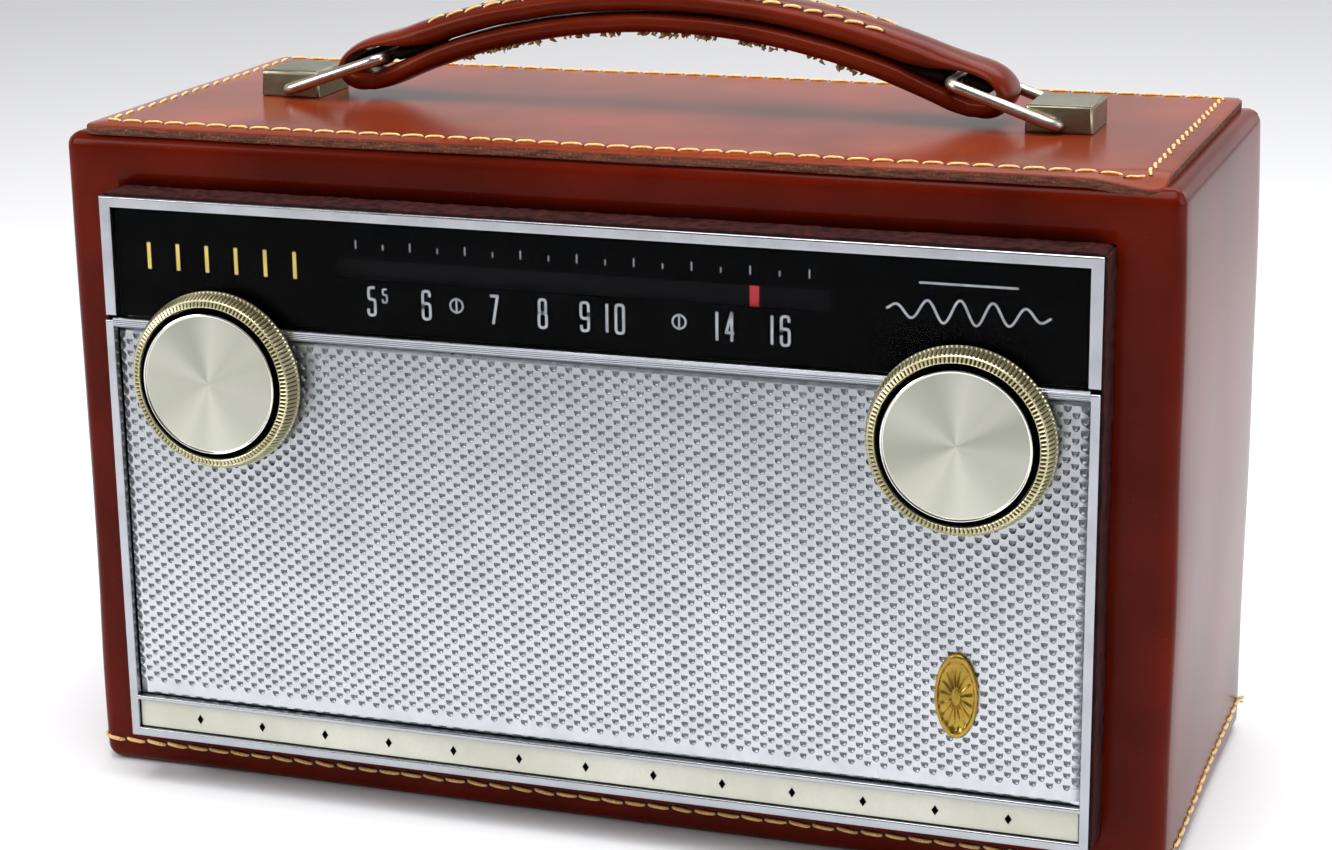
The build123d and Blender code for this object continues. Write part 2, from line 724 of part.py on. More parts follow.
def bracket_screws():
    """Two screws up through the case into each bracket."""
    screws = []
    for y in (-5, 5):
        head = rod_z(bracket_screw_x, y, (cabinet_ceiling - 2.0, cabinet_ceiling), 2.8)
        head -= block((bracket_screw_x - 2.2, bracket_screw_x + 2.2), (y - 0.35, y + 0.35),
                      (cabinet_ceiling - 3, cabinet_ceiling - 1.2))
        shank = rod_z(bracket_screw_x, y, (cabinet_ceiling, lid_top + 4.0), screw_radius)
        screws.append(head + shank)
    return mirrored(screws[0] + screws[1])


strap_top_z = 185.5          # crown of the arch
strap_groove_z = 180.0       # where the two bands meet
strap_under_z = 175.0
strap_top_arc, strap_groove_arc, strap_under_arc = 190.0, 172.0, 160.0
mouth_x = 56.0               # the bands part here to take the ring's bar


def arch_z(crown, radius, x):
    return crown - radius + (radius ** 2 - x ** 2) ** 0.5


def arch(crown, radius, x):
    """Arc from the middle of the handle out to x."""
    points = [(place, arch_z(crown, radius, place)) for place in (0, x / 2, x)]
    return ThreePointArc(*points)


def swept_band(outline):
    """A handle band from the outline of its right half, seen from the front."""
    face = Plane.XZ * make_face(outline)
    half = extrude(face, strap_half_width, both=True)
    return half + mirror(half, Plane.YZ)


def handle_strap_upper():
    """Padded upper band, whose ends fold down round the rings' bars."""
    top_end = (66.0, arch_z(strap_top_z, strap_top_arc, 66.0))
    mouth = (mouth_x, arch_z(strap_groove_z, strap_groove_arc, mouth_x) + 0.1)
    fold = Spline(top_end, (77.5, 169.9), (82.5, 164.6), (79.6, 159.6), (73.0, 158.6),
                  tangents=[(1.0, -0.36), (-1.0, 0.1)])
    cavity = Spline((73.0, 163.6), (76.6, 163.4), (78.3, 165.4), (75.6, 168.4), (69.0, 169.8),
                    (62.5, 169.7), mouth, tangents=[(1.0, -0.25), (-1.0, 0.2)])
    outline = (arch(strap_top_z, strap_top_arc, 66.0) + fold
               + Line((73.0, 158.6), (73.0, 163.6)) + cavity
               + arch(strap_groove_z + 0.1, strap_groove_arc, mouth_x)
               + Line((0, strap_groove_z + 0.1), (0, strap_top_z)))
    return swept_band(outline)


def handle_strap_lower():
    """Lower band, from fold to fold."""
    end = 72.8
    mouth = (mouth_x, arch_z(strap_groove_z, strap_groove_arc, mouth_x))
    above = Spline(mouth, (64.0, 167.0), (end, 163.6), tangents=[(0.94, -0.34), (1.0, -0.28)])
    under_end = (64.0, arch_z(strap_under_z, strap_under_arc, 64.0))
    below = Spline(under_end, (end, 158.6), tangents=[(1.0, -0.43), (1.0, -0.1)])
    outline = (arch(strap_groove_z, strap_groove_arc, mouth_x) + above
               + Line((end, 163.6), (end, 158.6)) + below
               + arch(strap_under_z, strap_under_arc, 64.0)
               + Line((0, strap_under_z), (0, strap_groove_z)))
    return swept_band(outline)


# ---------------------------------------------------------------- the parts
parts = {
    "leather_wrap": leather_wrap(),
    "top_panel": top_panel(),
    "bottom_panel": bottom_panel(),
    "inner_cabinet": inner_cabinet(),
    "back_cover": back_cover(),
    "snap_studs": snap_studs(),
    "snap_caps": snap_caps(),
    "upper_bezel": upper_bezel(),
    "lower_bezel": lower_bezel(),
    "front_panel_nuts": front_panel_nuts(),
    "dial_glass": dial_glass(),
    "dial_mask": dial_mask(),
    "dial_backplate": dial_backplate(),
    "dial_pointer": dial_pointer(),
    "pointer_rail": pointer_rail(),
    "cord_posts": cord_posts(),
    "dial_cord": dial_cord(),
    "dial_drum": dial_drum(),
    "grille_panel": grille_panel(),
    "nameplate_strip": nameplate_strip(),
    "badge": badge(),
    "tuning_knob_skirt": knob_skirt(knob_x),
    "tuning_knob_insert": knob_insert(knob_x),
    "tuning_knob_cap": knob_cap(knob_x),
    "tuning_shaft": tuning_shaft(),
    "volume_knob_skirt": knob_skirt(-knob_x),
    "volume_knob_insert": knob_insert(-knob_x),
    "volume_knob_cap": knob_cap(-knob_x),
    "volume_shaft": volume_shaft(),
    "shaft_bushings": shaft_bushings(),
    "volume_control": volume_control(),
    "chassis_plate": chassis_plate(),
    "capacitor_bracket": capacitor_bracket(),
    "tuning_capacitor_frame": tuning_capacitor_frame(),
    "tuning_stator": tuning_stator(),
    "tuning_rotor": tuning_rotor(),
    "small_screws": small_screws(),
    "speaker_frame": speaker_frame(),
    "speaker_cone": speaker_cone(),
    "speaker_magnet": speaker_magnet(),
    "circuit_board": circuit_board(),
    "board_posts": board_posts(),
    "if_transformers": if_transformers(),
    "audio_transformers": audio_transformers(),
    "transistors": transistors(),
    "electrolytic_capacitors": electrolytic_capacitors(),
    "resistors": resistors(),
    "ferrite_rod": ferrite_rod(),
    "aerial_coils": aerial_coils(),
    "aerial_clips": aerial_clips(),
    "battery_box": battery_box(),
    "battery_cells": battery_cells(),
    "battery_contacts": battery_contacts(),
    "handle_bracket_left": handle_bracket(-1),
    "handle_bracket_right": handle_bracket(1),
    "bracket_screws": bracket_screws(),
    "handle_ring_left": handle_ring(-1),
    "handle_ring_right": handle_ring(1),
    "handle_strap_upper": handle_strap_upper(),
    "handle_strap_lower": handle_strap_lower(),
}

os.makedirs("parts", exist_ok=True)
for node, shape in parts.items():
    export_step(shape, f"parts/{node}.step")
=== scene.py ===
import json
import random
from math import ceil, cos, hypot, pi, radians, sin, sqrt, tan

import bpy
import numpy as np
from mathutils import Matrix, Vector, noise


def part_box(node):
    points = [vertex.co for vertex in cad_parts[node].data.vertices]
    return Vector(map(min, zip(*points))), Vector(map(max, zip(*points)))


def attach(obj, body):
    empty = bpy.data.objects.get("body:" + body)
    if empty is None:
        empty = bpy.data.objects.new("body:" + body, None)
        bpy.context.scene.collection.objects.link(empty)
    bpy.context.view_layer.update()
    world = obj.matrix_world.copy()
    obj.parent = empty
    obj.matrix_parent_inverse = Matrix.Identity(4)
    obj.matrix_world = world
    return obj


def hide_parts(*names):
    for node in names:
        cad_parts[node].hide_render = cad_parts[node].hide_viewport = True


# Leather-cased portable radio: the looks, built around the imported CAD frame.
# X runs left to right seen from the front, the front faces -Y, Z is up, in metres.

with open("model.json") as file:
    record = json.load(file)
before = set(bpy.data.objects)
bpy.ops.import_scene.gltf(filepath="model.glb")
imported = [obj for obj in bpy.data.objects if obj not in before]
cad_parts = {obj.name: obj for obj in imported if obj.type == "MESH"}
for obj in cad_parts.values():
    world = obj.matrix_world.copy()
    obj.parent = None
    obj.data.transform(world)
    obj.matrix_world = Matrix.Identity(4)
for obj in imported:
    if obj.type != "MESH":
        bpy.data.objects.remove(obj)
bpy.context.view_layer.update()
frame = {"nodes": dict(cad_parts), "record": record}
mm = 0.001
random.seed(12)


# ------------------------------------------------ node materials
def linear(screen):
    """Linear colour of a screen colour given as 0 to 255."""
    return tuple((c / 255 / 12.92) if c < 10 else ((c / 255 + 0.055) / 1.055) ** 2.4
                 for c in screen)


class Finish:
    """A node material on one shader, with short calls that add nodes to it."""

    def __init__(self, name, colour, roughness, **sockets):
        self.material = bpy.data.materials.new(name)
        self.material.use_nodes = True
        self.tree = self.material.node_tree
        self.shader = self.tree.nodes["Principled BSDF"]
        self.colour(colour)
        self.rough(roughness)
        for key, value in sockets.items():
            self.feed(self.shader.inputs[key.replace("_", " ")], value)
        self.place = self.node("ShaderNodeTexCoord").outputs["Object"]
        self.normal = None

    def feed(self, socket, value):
        if isinstance(value, bpy.types.NodeSocket):
            self.tree.links.new(value, socket)
        elif socket.type == "RGBA":
            socket.default_value = (*value[:3], 1)
        else:
            socket.default_value = value

    def node(self, kind, inputs=None, **settings):
        made = self.tree.nodes.new(kind)
        for key, value in settings.items():
            setattr(made, key, value)
        for key, value in (inputs or {}).items():
            self.feed(made.inputs[key], value)
        return made

    def scaled(self, size, stretch=(1, 1, 1)):
        """Object coordinates in features of so many millimetres, longer where stretch is over 1."""
        scale = [1 / (size * mm * s) for s in stretch]
        return self.node("ShaderNodeMapping", {"Vector": self.place, "Scale": scale}).outputs[0]

    def noise(self, size, detail, stretch=(1, 1, 1), distortion=0.0):
        return self.node("ShaderNodeTexNoise", {
            "Vector": self.scaled(size, stretch), "Scale": 1.0, "Detail": detail,
            "Distortion": distortion}).outputs["Fac"]

    def cells(self, size):
        return self.node("ShaderNodeTexVoronoi", {
            "Vector": self.scaled(size), "Scale": 1.0}).outputs["Distance"]

    def axes(self):
        return self.node("ShaderNodeSeparateXYZ", {0: self.place}).outputs

    def calc(self, operation, a, b=0.0):
        return self.node("ShaderNodeMath", {0: a, 1: b}, operation=operation).outputs[0]

    def ramp(self, value, *stops):
        """Grey curve through (value, level) stops."""
        made = self.node("ShaderNodeValToRGB", {"Fac": value})
        for element, (at, level) in zip(made.color_ramp.elements, stops):
            element.position = at
            element.color = (level, level, level, 1)
        return made.outputs["Color"]

    def mix(self, share, a, b):
        return self.node("ShaderNodeMixRGB", {"Fac": share, "Color1": a, "Color2": b}).outputs["Color"]

    def blend(self, value, low, high, a, b):
        """Colour a turning into b as a value goes from the low (value, share) stop to the high."""
        return self.mix(self.ramp(value, low, high), a, b)

    def colour(self, value):
        self.feed(self.shader.inputs["Base Color"], value)
        return self

    def rough(self, value):
        self.feed(self.shader.inputs["Roughness"], value)
        return self

    def bump(self, height, depth, strength):
        """Relief of so many millimetres, on top of any relief already there."""
        made = self.node("ShaderNodeBump", {"Height": height, "Distance": depth * mm,
                                            "Strength": strength})
        if self.normal:
            self.feed(made.inputs["Normal"], self.normal)
        self.normal = made.outputs["Normal"]
        self.feed(self.shader.inputs["Normal"], self.normal)
        return self


def leather(name, dark, light, roughness, coat, scuff):
    """Smooth polished cowhide: mottled dye, fine pores, soft wrinkles and pale scuffs."""
    dark, light = linear(dark), linear(light)
    f = Finish(name, light, roughness, Coat_Weight=coat, Coat_Roughness=0.19, Coat_IOR=1.16,
               Specular_IOR_Level=0.0)
    pores = f.cells(0.55)
    body = f.blend(f.noise(34, 5), (0.36, 0), (0.66, 1), dark, light)
    body = f.blend(f.noise(7, 4, (3, 1, 1)), (0.45, 0), (0.8, 0.22), body, dark)
    body = f.blend(pores, (0.0, 0.28), (0.3, 0), body, tuple(c * 0.4 for c in dark))
    worn = f.blend(f.cells(5.5), (0.0, 1), (0.05, 0), body, tuple(min(1, c * 3 + 0.05) for c in light))
    f.colour(f.mix(scuff, body, worn))
    f.rough(f.ramp(f.noise(5, 4), (0.3, roughness - 0.04), (0.75, roughness + 0.07)))
    f.bump(f.noise(16, 3), 0.25, 0.5)
    f.bump(f.noise(1.3, 4), 0.05, 0.5)
    return f.bump(f.ramp(pores, (0.0, 0), (0.4, 1)), 0.03, 0.5)


def raw_edge():
    """Cut edge of thick leather: dark brown fibre in layers, with paler flecks."""
    f = Finish("leather_cut_edge", linear((60, 28, 16)), 0.85)
    body = f.blend(f.noise(0.5, 4, (8, 8, 1)), (0.35, 0), (0.65, 1), linear((50, 20, 12)),
                   linear((110, 54, 30)))
    f.colour(f.blend(f.noise(0.6, 3), (0.58, 0), (0.72, 0.8), body, linear((158, 108, 62))))
    return f.bump(f.noise(0.7, 5), 0.35, 0.9)


def thread(name, dark, light):
    """Twisted waxed thread."""
    f = Finish(name, linear(light), 0.6, Sheen_Weight=0.3)
    strands = f.noise(0.45, 3, distortion=1.0)
    f.colour(f.blend(strands, (0.35, 0), (0.65, 1), linear(dark), linear(light)))
    return f.bump(strands, 0.25, 0.8)


def metal(name, colour, roughness, size, relief=0.02, tarnish=None, spread=0.35, grain=(1, 1, 1)):
    """Plated or bare metal with a grain direction, uneven polish and some tarnish."""
    colour = linear(colour)
    f = Finish(name, colour, roughness, Metallic=1.0)
    cloud = f.noise(9, 5)
    dull = linear(tarnish) if tarnish else tuple(c * 0.62 for c in colour)
    f.colour(f.blend(cloud, (0.42, 0), (0.8, spread), colour, dull))
    lines = f.noise(size, 3, grain)
    low, high = roughness * 0.75, min(1, roughness * 1.35 + 0.03)
    f.rough(f.ramp(f.calc("ADD", f.calc("MULTIPLY", lines, 0.5), f.calc("MULTIPLY", cloud, 0.5)),
                   (0.35, low), (0.65, high)))
    return f.bump(lines, relief, 0.6)


def plain(name, dark, light, roughness, size, grain_size, relief, **sockets):
    """Moulded, painted, woven or pressed stuff: two tones in clouds over a fine grain."""
    dark, light = linear(dark), linear(light)
    f = Finish(name, light, roughness, **sockets)
    cloud = f.noise(size, 5)
    grain = f.noise(grain_size, 4)
    tone = f.blend(cloud, (0.35, 0), (0.68, 1), dark, light)
    f.colour(f.blend(grain, (0.45, 0), (0.75, 0.35), tone, dark))
    f.rough(f.ramp(cloud, (0.3, roughness * 0.85), (0.7, min(1, roughness * 1.15))))
    return f.bump(grain, relief, 0.7)


def striped(finish, letter, pitch, share, tint, relief=0.0):
    """Adds bands of another tint along one axis, each share of a pitch wide, in millimetres."""
    turn = finish.calc("FRACT", finish.calc("MULTIPLY", finish.axes()[letter], 1 / (pitch * mm)))
    band = finish.ramp(turn, (share - 0.03, 1), (share + 0.03, 0))
    under = finish.shader.inputs["Base Color"].links[0].from_socket
    finish.colour(finish.mix(band, under, linear(tint)))
    return finish.bump(band, relief, 1.0) if relief else finish


def painted_height_shade(finish, lit_tone, dull, low, high):
    """Painted shade on a metal: its lit colour at one height turns to a darker colour at a greater one,
    with cloudy borders, in place of a reflection that darkens upward.
    """
    cloud = finish.calc("MULTIPLY", finish.calc("SUBTRACT", finish.noise(22, 3), 0.5), 24 * mm)
    height = finish.calc("ADD", finish.axes()["Z"], cloud)
    share = finish.node("ShaderNodeMapRange", {"Value": height, "From Min": low, "From Max": high})
    return finish.colour(finish.mix(share.outputs["Result"], linear(lit_tone), linear(dull)))


def glass():
    """Clear dial window, with faint wiping smears."""
    f = Finish("clear_dial_window", (0.97, 0.98, 1.0), 0.03, Transmission_Weight=1.0, IOR=1.08)
    return f.rough(f.ramp(f.noise(14, 4, (2, 1, 1)), (0.4, 0.0), (0.8, 0.03)))


def spun_metal():
    """Champagne disc turned on a lathe: fine rings, a real anisotropic sheen, and colour in wedges that
    fan out from the middle, as painted reflection.
    """
    f = Finish("spun_champagne", linear((206, 204, 194)), 0.36, Metallic=1.0, Anisotropic=0.8)
    lathe = f.node("ShaderNodeTangent", direction_type="RADIAL", axis="Y").outputs[0]
    f.feed(f.shader.inputs["Tangent"], lathe)
    split = f.axes()
    radius = f.calc("SQRT", f.calc("ADD", f.calc("POWER", split["X"], 2.0),
                                   f.calc("POWER", split["Z"], 2.0)))
    turn = f.calc("ARCTAN2", split["Z"], split["X"])

    def swirl(x, y, scale, detail):
        place = f.node("ShaderNodeCombineXYZ", {"X": x, "Y": y}).outputs[0]
        return f.node("ShaderNodeTexNoise", {"Vector": place, "Scale": scale,
                                             "Detail": detail}).outputs["Fac"]

    rings = swirl(f.calc("MULTIPLY", radius, 1 / (0.16 * mm)), 0.0, 1.0, 2.0)
    painted_fan_sheen = swirl(f.calc("COSINE", turn), f.calc("SINE", turn), 0.75, 1.5)
    # Lighter and darker wedges round the middle: painted reflection of the anisotropic sheen.
    f.colour(f.blend(painted_fan_sheen, (0.36, 0.0), (0.64, 1.0), linear((160, 161, 148)), linear((196, 197, 183))))
    return f.bump(rings, 0.015, 0.7)


# ------------------------------------------------ finishes of the visible pieces
# One hide in two copies. The case and the back cover take the darker copy, painted shade on the front.
# The top panel takes the lighter copy, painted light from above.
hide = leather("shaded_case_hide", (74, 13, 2), (96, 21, 5), 0.36, 1.0, 0.3)
lit_lid_hide = leather("lit_lid_hide", (104, 36, 14), (130, 50, 22), 0.34, 1.0, 0.5)
band_hide = leather("handle_hide", (78, 20, 7), (106, 32, 12), 0.36, 1.0, 0.4)
cut_edge = raw_edge()
gold_thread = thread("golden_thread", (214, 156, 78), (255, 214, 138))
pale_thread = thread("pale_thread_end", (214, 190, 140), (250, 236, 200))
# Near-black caps over the stitch holes: painted shade of the holes.
stitch_hole_shade = plain("stitch_hole_shade", (22, 8, 4), (48, 20, 12), 0.9, 0.6, 0.3, 0.1)
khaki_fibre = plain("flesh_side_fibre", (112, 88, 44), (184, 152, 92), 0.9, 1.2, 0.4, 0.1)
# Near-black leather for the cores in the strap's loops: painted shade of their hollow insides.
painted_shade_core = plain("core_painted_shade", (12, 4, 3), (34, 12, 8), 0.8, 2.0, 0.4, 0.15,
                  Specular_IOR_Level=0.1)
collar_hide = plain("collar_leather", (30, 8, 10), (64, 24, 22), 0.7, 2.0, 0.4, 0.2,
                    Specular_IOR_Level=0.15)
pressed_board = plain("pressed_board", (52, 36, 22), (92, 66, 42), 0.8, 7, 0.8, 0.12)
satin_chrome = metal("satin_chrome", (172, 174, 179), 0.18, 0.8, 0.004, grain=(3, 3, 3))
# The grille is darker towards the top: painted shade for the dimmer reflection on its upper part.
aluminium = painted_height_shade(metal("embossed_aluminium", (196, 199, 202), 0.32, 2.0, 0.004),
                 (198, 201, 204), (158, 161, 165), 45 * mm, 122 * mm)
# Darker copies of the aluminium for the slopes and floors of the dents: painted shade in the pits.
dent_shade = metal("dent_slope_painted_shade", (172, 176, 180), 0.42, 0.4)
dent_floor_painted_shade = metal("dent_floor_painted_shade", (126, 130, 135), 0.45, 0.4)
gilt = metal("knob_gilt", (214, 208, 174), 0.34, 0.4, 0.02, (128, 116, 78), 0.4)
# Darker gold for the faces in the knob ring's grooves: painted shade.
gilt_groove_shade = metal("knob_groove_painted_shade", (110, 98, 52), 0.4, 0.4)
bright_rim = metal("knob_bright_rim", (226, 224, 216), 0.12, 0.5, 0.01)
badge_gilt = metal("medallion_gilt", (168, 138, 62), 0.3, 0.5, 0.03, (60, 42, 16), 0.7)
ring_nickel = metal("ring_nickel", (188, 182, 172), 0.3, 0.8, 0.004, (110, 96, 74), 0.7, (4, 4, 4))
black_enamel = plain("black_enamel", (1, 1, 2), (4, 4, 5), 0.5, 5, 0.8, 0.01, Specular_IOR_Level=0.0)
grey_print = plain("pale_grey_ink", (168, 172, 176), (206, 208, 212), 0.5, 2, 0.3, 0.01)
gold_print = metal("gold_ink", (226, 200, 110), 0.35, 0.3, 0.01)
dial_window = glass()
spun = spun_metal()

# ------------------------------------------------ finishes of the material slots
slot_finishes = {
    "cabinet_board": pressed_board, "bezel_chrome": satin_chrome, "dial_black": black_enamel,
    "ring_nickel": ring_nickel, "case_leather": hide, "strap_leather": band_hide,
    "cover_leather": hide, "dial_glass": dial_window, "grille_aluminium": aluminium,
    "badge_gold": badge_gilt, "knob_gold": gilt, "knob_black": black_enamel,
    "knob_spun": bright_rim,
    "bottom_leather": leather("bottom_hide", (70, 24, 12), (104, 40, 22), 0.5, 0.1, 0.6),
    "dial_grey": plain("slot_grey", (4, 4, 6), (16, 16, 20), 0.6, 30, 0.7, 0.02,
                       Specular_IOR_Level=0.1),
    "nameplate_enamel": plain("cream_enamel", (196, 196, 180), (214, 214, 200), 0.32, 18, 0.7, 0.02,
                              Coat_Weight=0.4),
    "magnet_iron": plain("magnet_iron", (60, 60, 62), (104, 102, 98), 0.5, 5, 0.6, 0.06, Metallic=0.7),
}
for slot, *values in (
        ("pointer_red", (170, 16, 24), (222, 40, 48), 0.4, 3, 0.4, 0.01),
        ("nylon", (196, 190, 170), (226, 222, 206), 0.5, 4, 0.5, 0.03),
        ("cord", (120, 104, 70), (190, 176, 136), 0.8, 1.0, 0.3, 0.1),
        ("drum_plastic", (34, 30, 28), (58, 52, 48), 0.45, 6, 0.6, 0.03),
        ("cone_paper", (34, 30, 28), (66, 60, 54), 0.95, 3, 0.35, 0.15),
        ("board_phenolic", (96, 56, 24), (142, 90, 44), 0.5, 5, 0.5, 0.03),
        ("transistor_can", (34, 34, 38), (64, 64, 68), 0.35, 3, 0.4, 0.02),
        ("capacitor_sleeve", (36, 62, 110), (60, 92, 150), 0.4, 4, 0.5, 0.02),
        ("resistor_carbon", (92, 58, 34), (140, 96, 60), 0.5, 2, 0.4, 0.02),
        ("ferrite", (26, 26, 28), (52, 52, 54), 0.6, 3, 0.5, 0.08),
        ("litz_wire", (96, 60, 24), (172, 120, 60), 0.55, 3, 0.4, 0.03),
        ("clip_rubber", (24, 24, 24), (48, 46, 44), 0.8, 3, 0.4, 0.05),
        ("tray_plastic", (44, 40, 36), (78, 72, 64), 0.5, 8, 0.7, 0.04),
        ("cell_jacket", (20, 44, 92), (38, 70, 130), 0.35, 6, 0.6, 0.01)):
    slot_finishes[slot] = plain(slot, *values)
for slot, *values in (
        ("steel", (176, 178, 176), 0.34, 0.6, 0.03, (120, 116, 96), 0.5),
        ("zinc_plate", (186, 186, 176), 0.4, 0.6, 0.03, (130, 124, 92), 0.6, (12, 1, 1)),
        ("vane_aluminium", (206, 208, 208), 0.3, 0.5, 0.02, None, 0.35, (1, 10, 1)),
        ("speaker_steel", (150, 152, 148), 0.42, 0.7, 0.05, (96, 88, 60), 0.5),
        ("can_aluminium", (196, 198, 198), 0.32, 0.5, 0.02, None, 0.35, (1, 1, 12)),
        ("laminations", (112, 108, 102), 0.5, 0.6, 0.04),
        ("spring_steel", (188, 188, 190), 0.25, 0.4, 0.01),
        ("bracket_nickel", (138, 134, 112), 0.3, 0.5, 0.02, (96, 88, 62), 0.6, (6, 1, 1)),
        ("snap_nickel", (196, 194, 184), 0.22, 0.5, 0.02, (120, 110, 86), 0.5)):
    slot_finishes[slot] = metal(slot, *values)
for slot, *values in (("laminations", "Y", 0.7, 0.3, (60, 50, 44), 0.06),
                      ("capacitor_sleeve", "Z", 9.0, 0.16, (196, 200, 206)),
                      ("resistor_carbon", "X", 2.3, 0.34, (196, 60, 30)),
                      ("litz_wire", "X", 0.7, 0.4, (70, 40, 16), 0.12),
                      ("cell_jacket", "X", 56.0, 0.2, (206, 176, 70))):
    striped(slot_finishes[slot], *values)


# ------------------------------------------------ camera, light and floor
def look(yaw, pitch, roll):
    """Rotation of a camera that looks along +Y, turned by three angles in degrees."""
    turn = Matrix.Rotation(radians(yaw), 4, "Z")
    nod = Matrix.Rotation(radians(90 + pitch), 4, "X")
    tilt = Matrix.Rotation(radians(roll), 4, "Z")
    return turn @ nod @ tilt


def place_in_scene(name, data):
    thing = bpy.data.objects.new(name, data)
    bpy.context.scene.collection.objects.link(thing)
    return thing


def add_camera():
    data = bpy.data.cameras.new("camera")
    data.sensor_width = 36
    data.lens = 80.615
    data.clip_start, data.clip_end = 0.01, 50
    camera = place_in_scene("camera", data)
    stand = Matrix.Translation((0.22728, -0.64740, 0.27548))
    camera.matrix_world = stand @ look(19.498, -15.861, -0.753)
    bpy.context.scene.camera = camera


def add_softbox(name, place, size, power):
    """A rectangular area light that looks at the middle of the radio."""
    data = bpy.data.lights.new(name, "AREA")
    data.shape = "RECTANGLE"
    data.size, data.size_y = size
    data.energy = power
    light = place_in_scene(name, data)
    light.location = place
    aim = Vector((0, 0, 0.09)) - Vector(place)
    light.rotation_euler = aim.to_track_quat("-Z", "Y").to_euler()


def add_surroundings():
    """Pale studio, dimmer in front of the radio than behind it, and dimmer high up."""
    world = bpy.data.worlds.new("studio")
    world.use_nodes = True
    nodes, links = world.node_tree.nodes, world.node_tree.links
    background = nodes["Background"]
    background.inputs["Color"].default_value = (0.98, 0.985, 1.0, 1)
    split = nodes.new("ShaderNodeSeparateXYZ")
    links.new(nodes.new("ShaderNodeTexCoord").outputs["Generated"], split.inputs[0])
    product = nodes.new("ShaderNodeMath")
    product.operation = "MULTIPLY"
    shades = (("Y", -0.9, 0.6, 0.22, 0.95), ("Z", 0.1, 0.27, 1.0, 0.52))
    for socket, (axis, *levels) in zip(product.inputs, shades):
        ramp = nodes.new("ShaderNodeMapRange")
        for name, level in zip(("From Min", "From Max", "To Min", "To Max"), levels):
            ramp.inputs[name].default_value = level
        links.new(split.outputs[axis], ramp.inputs["Value"])
        links.new(ramp.outputs["Result"], socket)
    links.new(product.outputs[0], background.inputs["Strength"])
    bpy.context.scene.world = world
    add_softbox("light_above", (0.1, -0.15, 1.05), (0.9, 0.8), 14)
    add_softbox("light_left", (-0.95, -0.75, 0.75), (0.6, 0.7), 10)
    add_softbox("light_behind", (0, 2.0, 1.6), (1.8, 1.0), 9)
    add_softbox("light_right", (1.3, 0.2, 0.6), (0.9, 0.9), 8)
    bpy.context.scene.view_settings.view_transform = "Standard"


def add_floor():
    mesh = bpy.data.meshes.new("floor")
    half = 4.0
    mesh.from_pydata([(-half, -half, 0), (half, -half, 0), (half, half, 0), (-half, half, 0)], [],
                     [(0, 1, 2, 3)])
    mesh.materials.append(Finish("studio_floor", (0.86, 0.86, 0.88), 0.6).material)
    place_in_scene("floor", mesh)


# ------------------------------------------------ mesh building
def make_piece(name, points, faces, finishes, slot, body="case", replaces=(), tones=None,
               crease=0, modifiers=(), at=(0, 0, 0)):
    """A mesh object that rides on a body.

    tones gives each face's number among the finishes, and crease the angle over which an
    edge stays sharp, where it isn't 0.
    """
    mesh = bpy.data.meshes.new(name)
    mesh.from_pydata([tuple(map(float, p)) for p in points], [], faces)
    for finish in finishes:
        mesh.materials.append(finish.material)
    if tones is not None:
        mesh.polygons.foreach_set("material_index", tones)
    mesh.polygons.foreach_set("use_smooth", [True] * len(mesh.polygons))
    mesh.validate()
    mesh.update()
    if crease:
        mesh.set_sharp_from_angle(angle=radians(crease))
    piece = place_in_scene(name, mesh)
    piece.matrix_world = Matrix.Translation(at)
    for kind, settings in modifiers:
        modifier = piece.modifiers.new(kind.lower(), kind)
        for key, value in settings.items():
            setattr(modifier, key, value)
    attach(piece, body)
    if replaces:
        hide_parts(*replaces)
    return piece


class Mesh:
    """Points and faces that grow piece by piece."""

    def __init__(self):
        self.points, self.faces, self.tones = [], [], []

    def add(self, points, faces, tone=0):
        start = len(self.points)
        self.points += [tuple(p) for p in points]
        self.faces += [tuple(start + i for i in face) for face in faces]
        self.tones += [tone] * len(faces)

    def piece(self, name, finishes, slot, **rest):
        return make_piece(name, self.points, self.faces, finishes, slot, tones=self.tones, **rest)


def around(count):
    """count even angles of a full turn."""
    return [2 * pi * k / count for k in range(count)]


def rounded_wave(value, power):
    """A sine or cosine raised to a power, with its sign kept: the sides of a soft square."""
    return abs(value) ** power * (1 if value > 0 else -1)


def in_mm(*places):
    """Places given in millimetres, in metres."""
    return [tuple(v * mm for v in place) for place in places]


def loft(rings, closed=False):
    """Points and faces of a skin over closed rings of equal length, capped at its two ends."""
    count, size = len(rings), len(rings[0])
    points = [p for ring in rings for p in ring]
    faces = []
    for i in range(count if closed else count - 1):
        here, there = i * size, (i + 1) % count * size
        faces += [(here + j, here + (j + 1) % size, there + (j + 1) % size, there + j)
                  for j in range(size)]
    if not closed:
        faces += [tuple(reversed(range(size))), tuple((count - 1) * size + j for j in range(size))]
    return points, faces


def turned(x, z, profile, segments, ribs=0):
    """A body of revolution about a line along Y. A profile point is (radius, y) in metres, or
    (radius, y, ripple) on a ribbed ring, whose ribs stand out along Y as well as outward."""
    rings = []
    for radius, y, *ripple in profile:
        ring = []
        for a in around(segments):
            lift = ripple[0] * cos(ribs * a) if ripple else 0
            r = radius + lift * 0.8
            ring.append((x + r * cos(a), y - lift, z + r * sin(a)))
        rings.append(ring)
    return loft(rings)


